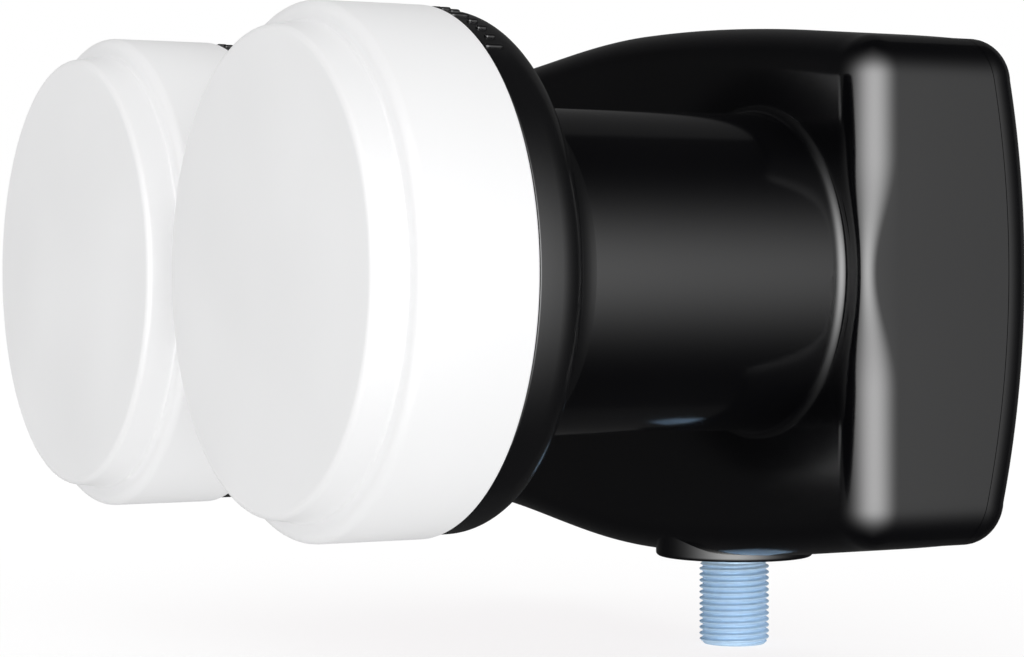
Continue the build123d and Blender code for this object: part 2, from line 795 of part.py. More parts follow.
# F connector: shell with its flange in the boss and its spigot pressed into the casting's block
spin_connector = Axis((connector_x, connector_y, 0), (0, 0, 1))
connector_plane = Plane(origin=(connector_x, connector_y, 0), x_dir=(1, 0, 0), z_dir=(0, -1, 0))
with BuildPart() as connector_shell:
    with BuildSketch(connector_plane):
        with BuildLine():
            Polyline(
                (shell_bore, thread_end_z),
                (thread_radius - thread_chamfer, thread_end_z),
                (thread_radius, thread_end_z + thread_chamfer),
                (thread_radius, thread_top_z),
                (relief_radius, thread_top_z),
                (relief_radius, flange_z),
                (flange_radius, flange_z),
                (flange_radius, block_z),
                (spigot_radius, block_z),
                (spigot_radius, spigot_z),
                (shell_bore, spigot_z),
                close=True,
            )
        make_face()
    revolve(axis=spin_connector)
connector_shell.part.label = "connector_shell"
export_step(connector_shell.part, "parts/connector_shell.step")

insulator_z = thread_end_z + insulator_inset
sleeve_z = insulator_z + insulator_guide
sleeve_end_z = sleeve_z + contact_sleeve
with BuildPart() as connector_insulator:
    with BuildSketch(connector_plane):
        with BuildLine():
            Polyline(
                (contact_bore + insulator_clearance, insulator_z),
                (shell_bore - insulator_clearance, insulator_z),
                (shell_bore - insulator_clearance, spigot_z),
                (pin_radius + insulator_clearance, spigot_z),
                (pin_radius + insulator_clearance, sleeve_end_z),
                (contact_radius + insulator_clearance, sleeve_end_z),
                (contact_radius + insulator_clearance, sleeve_z),
                (contact_bore + insulator_clearance, sleeve_z),
                close=True,
            )
        make_face()
    revolve(axis=spin_connector)
connector_insulator.part.label = "connector_insulator"
export_step(connector_insulator.part, "parts/connector_insulator.step")

# Inner contact: a sleeve slit into four springs for the cable's core, and a pin that runs up to the board
with BuildPart() as connector_contact:
    with BuildSketch(Plane.XY.offset(sleeve_z)):
        with Locations((connector_x, connector_y)):
            Circle(contact_radius)
    extrude(amount=contact_sleeve)
    with BuildSketch(Plane.XY.offset(sleeve_end_z)):
        with Locations((connector_x, connector_y)):
            Circle(pin_radius)
    extrude(amount=spigot_z + pin_reach - sleeve_end_z)
    with BuildSketch(Plane.XY.offset(spigot_z + pin_reach - 2 * pin_radius)):
        with Locations((connector_x, (connector_y + board_back_y) / 2)):
            Rectangle(2 * pin_radius, connector_y - board_back_y)
    extrude(amount=2 * pin_radius)
    with BuildSketch(Plane.XY.offset(sleeve_z)):
        with Locations((connector_x, connector_y)):
            Circle(contact_bore)
    extrude(amount=contact_bore_depth, mode=Mode.SUBTRACT)
    with BuildSketch(Plane.XY.offset(sleeve_z)):
        with Locations((connector_x, connector_y)):
            Rectangle(2 * contact_radius + overrun, contact_slot)
            Rectangle(contact_slot, 2 * contact_radius + overrun)
    extrude(amount=contact_slot_depth, mode=Mode.SUBTRACT)
connector_contact.part.label = "connector_contact"
export_step(connector_contact.part, "parts/connector_contact.step")

# Seal ring at the root of the thread
with BuildPart() as connector_seal:
    with BuildSketch(Plane.XY.offset(boss_z - connector_seal_stand)):
        with Locations((connector_x, connector_y)):
            Circle(connector_seal_radius)
            Circle(relief_radius + seal_clearance, mode=Mode.SUBTRACT)
    extrude(amount=connector_seal_stand + boss_floor + flange_clearance)
    fillet(connector_seal.edges().group_by(Axis.Z)[0].sort_by(SortBy.RADIUS)[-1], connector_seal_edge)
connector_seal.part.label = "connector_seal"
export_step(connector_seal.part, "parts/connector_seal.step")
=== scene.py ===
import math

import bmesh
import bpy
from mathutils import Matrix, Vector


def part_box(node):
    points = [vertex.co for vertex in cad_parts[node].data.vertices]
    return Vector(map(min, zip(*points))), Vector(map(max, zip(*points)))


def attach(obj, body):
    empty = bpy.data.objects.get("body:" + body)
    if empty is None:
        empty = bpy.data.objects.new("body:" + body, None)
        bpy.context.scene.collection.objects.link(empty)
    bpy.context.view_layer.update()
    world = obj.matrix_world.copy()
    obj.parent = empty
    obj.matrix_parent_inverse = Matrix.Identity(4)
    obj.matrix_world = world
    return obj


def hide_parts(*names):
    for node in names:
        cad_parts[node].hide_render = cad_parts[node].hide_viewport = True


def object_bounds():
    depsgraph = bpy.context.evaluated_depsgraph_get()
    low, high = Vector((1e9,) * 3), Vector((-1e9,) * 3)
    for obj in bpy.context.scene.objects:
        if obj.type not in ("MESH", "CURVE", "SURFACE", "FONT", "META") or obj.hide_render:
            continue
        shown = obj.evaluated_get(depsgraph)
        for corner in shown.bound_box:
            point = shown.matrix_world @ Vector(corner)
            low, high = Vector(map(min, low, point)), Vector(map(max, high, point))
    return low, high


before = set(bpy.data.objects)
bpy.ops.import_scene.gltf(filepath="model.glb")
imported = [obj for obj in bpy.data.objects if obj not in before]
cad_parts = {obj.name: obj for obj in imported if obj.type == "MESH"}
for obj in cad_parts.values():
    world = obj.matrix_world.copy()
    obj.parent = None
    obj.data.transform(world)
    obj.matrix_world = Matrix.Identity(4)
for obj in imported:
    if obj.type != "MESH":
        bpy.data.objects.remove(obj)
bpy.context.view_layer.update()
MM = 0.001

# Camera and picture
# The photograph was taken level with the horns' axes, from the right and in front of the unit, with a long
# lens. The horizon lies above the middle of the picture, so the lens is shifted.
PICTURE_WIDTH = 1024
PICTURE_HEIGHT = 657
CAMERA_PLACE = Vector((308.7, -183.7, 0.0)) * MM
CAMERA_TURN = math.radians(61.38)
FOCAL_PIXELS = 2897
HORIZON_PIXEL = 272
SENSOR_MM = 36
NEAREST_SEEN = 0.01

camera_data = bpy.data.cameras.new("photo_camera")
camera_data.sensor_width = SENSOR_MM
camera_data.lens = FOCAL_PIXELS / PICTURE_WIDTH * SENSOR_MM
camera_data.shift_y = (HORIZON_PIXEL - PICTURE_HEIGHT / 2) / PICTURE_WIDTH
camera_data.clip_start = NEAREST_SEEN
camera = bpy.data.objects.new("photo_camera", camera_data)
camera.location = CAMERA_PLACE
camera.rotation_euler = (math.radians(90), 0, CAMERA_TURN)
bpy.context.scene.collection.objects.link(camera)
bpy.context.scene.camera = camera
bpy.context.scene.view_settings.view_transform = "Standard"

# Feed caps
# Each cap is one thin moulding in a white plastic that microwaves pass through: a flat face, a step, and a
# wide band with a rounded rim. It is pushed over the collar's skirt from in front, and a seal ring grips it
# there.
AXES = {"right": 0.0, "left": -65.0}
CAP_WALL = 1.5
CAP_STEP = 2.45
CAP_TAPER = 0.6
CAP_STEP_LENGTH = 4.3
CAP_ROUNDS = {"lip": 0.9, "crease": 0.4, "shoulder": 1.4, "rim": 0.4, "inside": 0.4}
TURN_STEPS = 192
SAME_POINT = 0.0005          # points of a mesh that lie nearer than this are one
ON_AXIS = 0.001              # a profile point nearer than this to its axis is a pole


def rounded(corners, steps=8):
    """Points of a closed outline whose corners (a, b, radius) are rounded with arcs."""
    points = []
    count = len(corners)
    for index, (a, b, radius) in enumerate(corners):
        here = Vector((a, b))
        before = Vector(corners[index - 1][:2]) - here
        after = Vector(corners[(index + 1) % count][:2]) - here
        if radius == 0:
            points.append(here)
            continue
        before.normalize()
        after.normalize()
        half = before.angle(after) / 2
        reach = radius / math.tan(half)
        centre = here + (before + after).normalized() * (radius / math.sin(half))
        start = here + before * reach - centre
        end = here + after * reach - centre
        sweep = start.angle(end)
        for step in range(steps + 1):
            share = step / steps
            arm = start * math.sin((1 - share) * sweep) + end * math.sin(share * sweep)
            points.append(centre + arm / math.sin(sweep))
    return points


def settle(build, mesh, sharp_degrees=40):
    """Writes a bmesh to a mesh with outward faces, smooth between its sharp edges."""
    bmesh.ops.recalc_face_normals(build, faces=build.faces)
    build.to_mesh(mesh)
    build.free()
    mesh.shade_smooth()
    mesh.set_sharp_from_angle(angle=math.radians(sharp_degrees))


def finish_mesh(build, name, material):
    """Turns a bmesh in millimetres into an object at the origin."""
    bmesh.ops.remove_doubles(build, verts=build.verts, dist=SAME_POINT)
    bmesh.ops.scale(build, vec=(MM, MM, MM), verts=build.verts)
    mesh = bpy.data.meshes.new(name)
    settle(build, mesh)
    mesh.materials.append(material)
    piece = bpy.data.objects.new(name, mesh)
    bpy.context.scene.collection.objects.link(piece)
    return piece


def turn_profile(build, points, place, along, steps=TURN_STEPS, closed=True):
    """Adds a profile of (radius, distance) points, turned about a line through place."""
    across = Vector((0, 0, 1)) if abs(along.z) < 0.5 else Vector((1, 0, 0))
    side = along.cross(across)
    rings = []
    for radius, distance in points:
        centre = place + along * distance
        if radius < ON_AXIS:
            rings.append([build.verts.new(centre)] * steps)
            continue
        ring = []
        for step in range(steps):
            angle = 2 * math.pi * step / steps
            arm = across * math.cos(angle) + side * math.sin(angle)
            ring.append(build.verts.new(centre + radius * arm))
        rings.append(ring)
    following = rings[1:] + rings[:1] if closed else rings[1:]
    for ring, other in zip(rings, following):
        for step in range(steps):
            corners = [ring[step], ring[step - 1], other[step - 1], other[step]]
            unique = list(dict.fromkeys(corners))
            if len(unique) > 2:
                build.faces.new(unique)


def add_node(tree, kind, sources=None, **settings):
    """Adds a node; sources gives each named or numbered input a value or another node's output."""
    node = tree.nodes.new(kind)
    for setting, value in settings.items():
        setattr(node, setting, value)
    for socket, source in (sources or {}).items():
        if isinstance(source, bpy.types.NodeSocket):
            tree.links.new(source, node.inputs[socket])
        else:
            node.inputs[socket].default_value = source
    return node


def compute(tree, operation, *values):
    """The output of a Math node."""
    return add_node(tree, "ShaderNodeMath", dict(enumerate(values)), operation=operation).outputs[0]


def start_group(name, kind, inputs, outputs):
    """A node group with named sockets, its inputs' outlets and its outputs' inlets."""
    tree = bpy.data.node_groups.new(name, kind)
    for label, (socket_type, value) in inputs.items():
        socket = tree.interface.new_socket(
            name=label, in_out="INPUT", socket_type="NodeSocket" + socket_type
        )
        if value is not None:
            socket.default_value = value
    for label, socket_type in outputs.items():
        tree.interface.new_socket(name=label, in_out="OUTPUT", socket_type="NodeSocket" + socket_type)
    return tree, tree.nodes.new("NodeGroupInput").outputs, tree.nodes.new("NodeGroupOutput").inputs


def noise(tree, size_mm, detail=3.0, place=None):
    """A noise around 0 whose lumps are about size_mm across, on the piece's own coordinates."""
    place = place or add_node(tree, "ShaderNodeTexCoord").outputs["Object"]
    scale = compute(tree, "DIVIDE", 1 / MM, size_mm)
    spots = add_node(tree, "ShaderNodeTexNoise", {"Vector": place, "Scale": scale, "Detail": detail})
    return compute(tree, "SUBTRACT", spots.outputs[0], 0.5)


def shaded(tree, colour, amount, tone):
    """A colour made lighter and darker by a noise."""
    gain = compute(tree, "MULTIPLY_ADD", amount, tone, 1.0)
    return add_node(tree, "ShaderNodeVectorMath", {0: colour, "Scale": gain}, operation="SCALE").outputs[0]


# What a moulding takes from its tool: a fine grain, a slow ripple where the wall sinks, and uneven gloss
moulded_skin, given, result = start_group(
    "moulded_skin",
    "ShaderNodeTree",
    {
        "Color": ("Color", (0.5, 0.5, 0.5, 1)),
        "Tone": ("Float", 0.1),
        "Grain Size": ("Float", 0.4),
        "Grain Depth": ("Float", 0.002),
        "Ripple Size": ("Float", 14.0),
        "Ripple Depth": ("Float", 0.01),
        "Roughness": ("Float", 0.3),
        "Unevenness": ("Float", 0.1),
    },
    {"Color": "Color", "Roughness": "Float", "Height": "Float"},
)
skin_grain = noise(moulded_skin, given["Grain Size"])
skin_ripple = noise(moulded_skin, given["Ripple Size"], detail=1.0)
grain_height = compute(moulded_skin, "MULTIPLY", skin_grain, given["Grain Depth"])
skin_height = compute(moulded_skin, "MULTIPLY_ADD", skin_ripple, given["Ripple Depth"], grain_height)
skin_gloss = compute(moulded_skin, "ADD", compute(moulded_skin, "MULTIPLY", skin_grain, 0.5), skin_ripple)
skin_colour = shaded(moulded_skin, given["Color"], skin_ripple, given["Tone"])
skin_rough = compute(moulded_skin, "MULTIPLY_ADD", skin_gloss, given["Unevenness"], given["Roughness"])
moulded_skin.links.new(skin_colour, result["Color"])
moulded_skin.links.new(skin_rough, result["Roughness"])
moulded_skin.links.new(compute(moulded_skin, "MULTIPLY", skin_height, MM), result["Height"])


def finished(name, group, values, **shader_values):
    """A material whose colour, roughness and relief come from a finish group."""
    material = bpy.data.materials.new(name)
    material.use_nodes = True
    tree = material.node_tree
    shader = tree.nodes["Principled BSDF"]
    for label, value in shader_values.items():
        shader.inputs[label.replace("_", " ")].default_value = value
    finish = add_node(tree, "ShaderNodeGroup", values, node_tree=group)
    relief = add_node(tree, "ShaderNodeBump", {"Distance": 1.0, "Height": finish.outputs["Height"]})
    tree.links.new(finish.outputs["Color"], shader.inputs["Base Color"])
    tree.links.new(finish.outputs["Roughness"], shader.inputs["Roughness"])
    tree.links.new(relief.outputs["Normal"], shader.inputs["Normal"])
    return material


cap_white = finished(
    "cap_white",
    moulded_skin,
    {
        "Color": (0.84, 0.84, 0.845, 1),
        "Tone": 0.03,
        "Grain Size": 0.35,
        "Grain Depth": 0.0015,
        "Ripple Size": 18.0,
        "Ripple Depth": 0.02,
        "Roughness": 0.42,
        "Unevenness": 0.12,
    },
)

for side, axis_x in AXES.items():
    low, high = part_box("cap_" + side)
    band = (high.x - low.x) / 2 / MM
    face = low.y / MM
    rim = high.y / MM
    step = band - CAP_STEP
    step_y = face + CAP_STEP_LENGTH
    build = bmesh.new()
    section = rounded(
        (
            (0, face, 0),
            (step - CAP_TAPER, face, CAP_ROUNDS["lip"]),
            (step, step_y, CAP_ROUNDS["crease"]),
            (band, step_y, CAP_ROUNDS["shoulder"]),
            (band, rim, CAP_ROUNDS["rim"]),
            (band - CAP_WALL, rim, 0),
            (band - CAP_WALL, step_y + CAP_WALL, CAP_ROUNDS["inside"]),
            (step - CAP_TAPER - CAP_WALL, step_y + CAP_WALL, CAP_ROUNDS["inside"]),
            (step - CAP_TAPER - CAP_WALL, face + CAP_WALL, CAP_ROUNDS["inside"]),
            (0, face + CAP_WALL, 0),
        )
    )
    turn_profile(build, section, Vector((axis_x, 0, 0)), Vector((0, 1, 0)))
    cap = finish_mesh(build, "feed_cap_" + side, cap_white)
    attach(cap, "root")
    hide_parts("cap_" + side)

# Collars
# A satin black moulded ring behind each cap. Its back is a quarter round that runs into a hollow one, down
# to a thin edge on the neck, and its rim carries raised setting ticks. It is welded to the end of the neck.
COLLAR_RIM = 31.3
COLLAR_BACK = 6.2            # from the thin rear edge to the flat of the back
COLLAR_ROUND = 4.5
COLLAR_ROOT = 6.2
COLLAR_BAND = 2.9
COLLAR_EDGE = 0.25
COLLAR_SKIRT = 30.05
COLLAR_SKIRT_WALL = 2.0
COLLAR_SEAT = 20.1
COLLAR_SEAT_DEPTH = 9.55
COLLAR_LIP = 15.0
COLLAR_LIP_WALL = 2.4
COLLAR_FRONT_ROUND = 0.25
COLLAR_SKIRT_ROUND = 0.3
COLLAR_ROUND_STEPS = 16
TICK_HEIGHT = 0.35
TICK_WIDTH = 0.8
TICK_SHORT = 1.25
TICK_LONG = 2.3
TICK_MARGIN = 0.3
TICK_PITCH = 4.35
TICKS_EACH_SIDE = 8
TICKS_TO_LONG = 4
TICK_ROUNDING = 0.75         # radius of a tick's edges as a share of its height
TICK_END_TAPER = 0.4         # how much smaller its section is at its ends
TICK_END_POWER = 10.0        # how near to its ends the taper starts
TICK_STATIONS = 16
TICK_EDGE_STEPS = 4


def run_tree(piece, tree, values):
    """Runs a geometry node tree on a piece and keeps the result as its plain mesh."""
    modifier = piece.modifiers.new(tree.name, "NODES")
    modifier.node_group = tree
    sockets = {item.name: item.identifier for item in tree.interface.items_tree if item.in_out == "INPUT"}
    for label, value in values.items():
        modifier[sockets[label]] = value
    graph = bpy.context.evaluated_depsgraph_get()
    mesh = bpy.data.meshes.new_from_object(piece.evaluated_get(graph))
    piece.modifiers.remove(modifier)
    build = bmesh.new()
    build.from_mesh(mesh)
    settle(build, mesh)
    piece.data = mesh


# Ticks round a rim: each is a bar with a rounded section and tapered ends, and one in every few is long
rim_ticks, given, result = start_group(
    "rim_ticks",
    "GeometryNodeTree",
    {
        "Body": ("Geometry", None),
        "Each Side": ("Int", 8),
        "To Long": ("Int", 4),
        "Pitch": ("Float", 0.1),
        "Rim Radius": ("Float", 0.03),
        "Width": ("Float", 0.001),
        "Height": ("Float", 0.001),
        "Short": ("Float", 0.001),
        "Long": ("Float", 0.002),
        "Back": ("Float", 0.0),
        "Axis": ("Float", 0.0),
        "Material": ("Material", None),
    },
    {"Geometry": "Geometry"},
)
tick_number = add_node(rim_ticks, "GeometryNodeInputIndex").outputs[0]
tick_angle = compute(
    rim_ticks, "MULTIPLY", compute(rim_ticks, "SUBTRACT", tick_number, given["Each Side"]), given["Pitch"]
)
tick_out = compute(rim_ticks, "MULTIPLY", compute(rim_ticks, "SINE", tick_angle), given["Rim Radius"])
tick_place = add_node(
    rim_ticks,
    "ShaderNodeCombineXYZ",
    {
        "X": compute(rim_ticks, "ADD", tick_out, given["Axis"]),
        "Y": given["Back"],
        "Z": compute(rim_ticks, "MULTIPLY", compute(rim_ticks, "COSINE", tick_angle), given["Rim Radius"]),
    },
)
tick_row = add_node(
    rim_ticks,
    "GeometryNodeMeshLine",
    {"Count": compute(rim_ticks, "MULTIPLY_ADD", given["Each Side"], 2.0, 1.0)},
)
tick_points = add_node(
    rim_ticks,
    "GeometryNodeSetPosition",
    {"Geometry": tick_row.outputs[0], "Position": tick_place.outputs[0]},
)
tick_run = add_node(rim_ticks, "GeometryNodeCurvePrimitiveLine", {"Start": (0, 0, 0), "End": (0, -1, 0)})
tick_path = add_node(
    rim_ticks, "GeometryNodeResampleCurve", {"Curve": tick_run.outputs[0], "Count": TICK_STATIONS}
)
tick_upright = add_node(
    rim_ticks, "GeometryNodeSetCurveNormal", {"Curve": tick_path.outputs[0]}, mode="Z_UP"
)
tick_square = add_node(
    rim_ticks,
    "GeometryNodeCurvePrimitiveQuadrilateral",
    {"Width": given["Width"], "Height": compute(rim_ticks, "MULTIPLY", given["Height"], 2.0)},
)
tick_section = add_node(
    rim_ticks,
    "GeometryNodeFilletCurve",
    {
        "Curve": tick_square.outputs[0],
        "Count": TICK_EDGE_STEPS,
        "Radius": compute(rim_ticks, "MULTIPLY", given["Height"], TICK_ROUNDING),
        "Limit Radius": True,
    },
    mode="POLY",
)
tick_share = add_node(rim_ticks, "GeometryNodeSplineParameter").outputs["Factor"]
tick_end = compute(rim_ticks, "ABSOLUTE", compute(rim_ticks, "MULTIPLY_ADD", tick_share, 2.0, -1.0))
tick_near_end = compute(rim_ticks, "POWER", tick_end, TICK_END_POWER)
tick_taper = compute(rim_ticks, "MULTIPLY_ADD", tick_near_end, -TICK_END_TAPER, 1.0)
tick_bar = add_node(
    rim_ticks,
    "GeometryNodeCurveToMesh",
    {
        "Curve": tick_upright.outputs[0],
        "Profile Curve": tick_section.outputs[0],
        "Scale": tick_taper,
        "Fill Caps": True,
    },
)
tick_is_short = compute(
    rim_ticks, "GREATER_THAN", compute(rim_ticks, "MODULO", tick_number, given["To Long"]), 0.5
)
tick_cut = compute(rim_ticks, "SUBTRACT", given["Short"], given["Long"])
tick_length = compute(rim_ticks, "MULTIPLY_ADD", tick_is_short, tick_cut, given["Long"])
tick_turn = add_node(rim_ticks, "ShaderNodeCombineXYZ", {"Y": tick_angle})
tick_size = add_node(rim_ticks, "ShaderNodeCombineXYZ", {"X": 1.0, "Y": tick_length, "Z": 1.0})
tick_bars = add_node(
    rim_ticks,
    "GeometryNodeInstanceOnPoints",
    {
        "Points": tick_points.outputs[0],
        "Instance": tick_bar.outputs[0],
        "Rotation": tick_turn.outputs[0],
        "Scale": tick_size.outputs[0],
    },
)
tick_solid = add_node(rim_ticks, "GeometryNodeRealizeInstances", {"Geometry": tick_bars.outputs[0]})
tick_joined = add_node(rim_ticks, "GeometryNodeJoinGeometry")
rim_ticks.links.new(tick_solid.outputs[0], tick_joined.inputs[0])
rim_ticks.links.new(given["Body"], tick_joined.inputs[0])
tick_finish = add_node(
    rim_ticks,
    "GeometryNodeSetMaterial",
    {"Geometry": tick_joined.outputs[0], "Material": given["Material"]},
)
rim_ticks.links.new(tick_finish.outputs[0], result["Geometry"])

collar_black = finished(
    "collar_black",
    moulded_skin,
    {
        "Color": (0.0035, 0.0035, 0.004, 1),
        "Tone": 0.2,
        "Grain Size": 0.3,
        "Grain Depth": 0.0008,
        "Ripple Size": 9.0,
        "Ripple Depth": 0.006,
        "Roughness": 0.2,
        "Unevenness": 0.08,
    },
)

for side, axis_x in AXES.items():
    low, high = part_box("collar_" + side)
    edge = high.y / MM
    back = edge - COLLAR_BACK
    front = back - COLLAR_ROUND - COLLAR_BAND
    seat_end = edge - COLLAR_SEAT_DEPTH
    build = bmesh.new()
    section = rounded(
        (
            (COLLAR_RIM, front, COLLAR_FRONT_ROUND),
            (COLLAR_RIM, back, COLLAR_ROUND),
            (COLLAR_SEAT + COLLAR_EDGE, back, COLLAR_ROOT),
            (COLLAR_SEAT + COLLAR_EDGE, edge, 0),
            (COLLAR_SEAT, edge, 0),
            (COLLAR_SEAT, seat_end, 0),
            (COLLAR_LIP, seat_end, 0),
            (COLLAR_LIP, seat_end - COLLAR_LIP_WALL, 0),
            (COLLAR_SKIRT - COLLAR_SKIRT_WALL, seat_end - COLLAR_LIP_WALL, 0),
            (COLLAR_SKIRT - COLLAR_SKIRT_WALL, low.y / MM, 0),
            (COLLAR_SKIRT, low.y / MM, COLLAR_SKIRT_ROUND),
            (COLLAR_SKIRT, front, 0),
        ),
        steps=COLLAR_ROUND_STEPS,
    )
    turn_profile(build, section, Vector((axis_x, 0, 0)), Vector((0, 1, 0)))
    collar = finish_mesh(build, "collar_ring_" + side, collar_black)
    run_tree(
        collar,
        rim_ticks,
        {
            "Each Side": TICKS_EACH_SIDE,
            "To Long": TICKS_TO_LONG,
            "Pitch": math.radians(TICK_PITCH),
            "Rim Radius": COLLAR_RIM * MM,
            "Width": TICK_WIDTH * MM,
            "Height": TICK_HEIGHT * MM,
            "Short": TICK_SHORT * MM,
            "Long": TICK_LONG * MM,
            "Back": (back - COLLAR_ROUND - TICK_MARGIN) * MM,
            "Axis": axis_x * MM,
            "Material": collar_black,
        },
    )
    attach(collar, "root")
    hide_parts("collar_" + side)

# Housing
# One glossy black moulding makes both necks, the box behind them and the connector's boss. Its top and
# bottom are arched, more fully on the right half, its back edge is crowned, and its front edge draws in
# beside each neck.
HOUSING_TOP = 29.1
HOUSING_TOP_ARCH = 3.4
HOUSING_BOTTOM = -34.0
HOUSING_BOTTOM_ARCH = 3.85
RIGHT_FULLNESS = 1.0
LEFT_FULLNESS = 0.0
HOUSING_CORNER = 5.4
HOUSING_SHOULDER = 0.5
HOUSING_WALL = 2.0
HOUSING_MIDDLE = (AXES["left"] + AXES["right"]) / 2
FRONT_EDGE = 5.0
PINCHED_EDGE = 2.0
PINCH_HEIGHT = 14.4
REAR_EDGE = 4.4
CROWN_RADIUS = 125.0
HOUSING_DEPTH = 26.7
COVER_DEPTH = 4.7
SEAM_GAP = 0.1
NECK_RADIUS = 20.0
NECK_WALL = 1.6
NECK_ROOT = 1.2
EDGE_STEPS = 16
ROOT_STEPS = 8
ARCH_STEPS = 36
CORNER_STEPS = 12
SIDE_STEPS = 48
SUPPORT = 0.3                # from a round's end to the loop that keeps the surface beside it flat
ON_SIDE = 0.01               # an outline point nearer than this to the side lies on it

low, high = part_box("rear_cover")
box_half = (high.x - low.x) / 2 / MM
box_back = high.y / MM
box_front = box_back - HOUSING_DEPTH
seam = box_back - COVER_DEPTH
neck_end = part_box("front_housing")[0].y / MM


def crown(depth, height):
    """Depth of a crowned surface at a height, where it reaches depth at the horns' axes."""
    return depth - CROWN_RADIUS + math.sqrt(CROWN_RADIUS**2 - height**2)


def arch(share, fullness):
    """Height and slope of an arch of height 1: a slim one at a fullness of 0, a full round one at 1."""
    slim = math.cos(math.pi / 2 * share) ** 2
    slim_slope = -math.pi / 2 * math.sin(math.pi * share)
    height = slim + fullness * (1 - share**2 - slim)
    return height, slim_slope + fullness * (-2 * share - slim_slope)


def half_outline(fullness):
    """Half of the housing's front outline, from top middle to bottom middle: place and outward normal."""
    arch_half = box_half - HOUSING_CORNER - HOUSING_SHOULDER
    corner_x = box_half - HOUSING_CORNER
    points = []
    for step in range(ARCH_STEPS + 1):
        rise, slope = arch(step / ARCH_STEPS, fullness)
        normal = Vector((-slope * HOUSING_TOP_ARCH / arch_half, 1)).normalized()
        points.append((arch_half * step / ARCH_STEPS, HOUSING_TOP + HOUSING_TOP_ARCH * rise, normal))
    for step in range(CORNER_STEPS + 1):
        angle = math.pi / 2 * step / CORNER_STEPS
        normal = Vector((math.sin(angle), math.cos(angle)))
        z = HOUSING_TOP - HOUSING_CORNER * (1 - normal.y)
        points.append((corner_x + HOUSING_CORNER * normal.x, z, normal))
    side_top = HOUSING_TOP - HOUSING_CORNER
    side_bottom = HOUSING_BOTTOM + HOUSING_CORNER
    for step in range(1, SIDE_STEPS):
        z = side_top + (side_bottom - side_top) * step / SIDE_STEPS
        points.append((box_half, z, Vector((1, 0))))
    for step in range(CORNER_STEPS + 1):
        angle = math.pi / 2 * (1 + step / CORNER_STEPS)
        normal = Vector((math.sin(angle), math.cos(angle)))
        z = HOUSING_BOTTOM + HOUSING_CORNER * (1 + normal.y)
        points.append((corner_x + HOUSING_CORNER * normal.x, z, normal))
    for step in range(ARCH_STEPS, -1, -1):
        drop, slope = arch(step / ARCH_STEPS, fullness)
        normal = Vector((-slope * HOUSING_BOTTOM_ARCH / arch_half, -1)).normalized()
        points.append((arch_half * step / ARCH_STEPS, HOUSING_BOTTOM - HOUSING_BOTTOM_ARCH * drop, normal))
    return points


right_half = half_outline(RIGHT_FULLNESS)
left_half = [(-x, z, Vector((-n.x, n.y))) for x, z, n in reversed(half_outline(LEFT_FULLNESS)[1:-1])]
OUTLINE = right_half + left_half


def edge_radius(x, z):
    """Radius of the front edge, which is smaller beside a neck."""
    if abs(x) > box_half - ON_SIDE and abs(z) < PINCH_HEIGHT:
        share = math.cos(math.pi / 2 * z / PINCH_HEIGHT) ** 2
        return FRONT_EDGE - share * (FRONT_EDGE - PINCHED_EDGE)
    return FRONT_EDGE


def add_ring(build, inset_at, depth_at):
    """A closed ring of vertices along the outline.

    inset_at gives the inset at an outline point. depth_at gives the depth there, from the same point and the
    height that the inset leaves it at.
    """
    ring = []
    for x, z, normal in OUTLINE:
        inset = inset_at(x, z)
        px = x - normal.x * inset
        pz = z - normal.y * inset
        ring.append(build.verts.new((px + HOUSING_MIDDLE, depth_at(x, z, pz), pz)))
    return ring


def bridge_rings(build, rings):
    """Joins each ring of vertices to the next with a band of faces."""
    for ring, other in zip(rings, rings[1:]):
        for index in range(len(ring)):
            build.faces.new((ring[index - 1], ring[index], other[index], other[index - 1]))


def fill_flat(build, *loops):
    """Fills the flat space between an outer loop and the loops inside it."""
    edges = []
    for loop in loops:
        for index in range(len(loop)):
            edge = build.edges.get((loop[index - 1], loop[index]))
            edges.append(edge or build.edges.new((loop[index - 1], loop[index])))
    bmesh.ops.triangle_fill(build, edges=edges, use_beauty=True, use_dissolve=False)


def circle_loop(build, axis_x, radius, depth):
    """A loop of vertices round a neck's axis."""
    loop = []
    for step in range(TURN_STEPS):
        angle = 2 * math.pi * step / TURN_STEPS
        loop.append(build.verts.new((axis_x + radius * math.sin(angle), depth, radius * math.cos(angle))))
    return loop


def stack_circles(build, axis_x, section):
    """Adds a wall round a neck's axis through (radius, depth) points and gives its loops."""
    loops = [circle_loop(build, axis_x, radius, depth) for radius, depth in section]
    for loop, other in zip(loops, loops[1:]):
        for index in range(len(loop)):
            build.faces.new((loop[index - 1], loop[index], other[index], other[index - 1]))
    return loops


build = bmesh.new()
seam_front = seam - SEAM_GAP
rings = [add_ring(build, lambda x, z: edge_radius(x, z) + SUPPORT, lambda x, z, pz: box_front)]
for step in range(EDGE_STEPS + 1):
    turn = math.pi / 2 * step / EDGE_STEPS
    rings.append(
        add_ring(
            build,
            lambda x, z: edge_radius(x, z) * (1 - math.sin(turn)),
            lambda x, z, pz: box_front + edge_radius(x, z) * (1 - math.cos(turn)),
        )
    )
rings.append(add_ring(build, lambda x, z: 0, lambda x, z, pz: box_front + FRONT_EDGE + SUPPORT))
rings.append(add_ring(build, lambda x, z: 0, lambda x, z, pz: crown(seam_front, z) - 2 * SUPPORT))
rings.append(add_ring(build, lambda x, z: 0, lambda x, z, pz: crown(seam_front, z)))
rings.append(add_ring(build, lambda x, z: HOUSING_WALL, lambda x, z, pz: crown(seam_front, z)))
rings.append(add_ring(build, lambda x, z: HOUSING_WALL, lambda x, z, pz: box_front + HOUSING_WALL))
bridge_rings(build, rings)
front_loops = [rings[0]]
inner_loops = [rings[-1]]
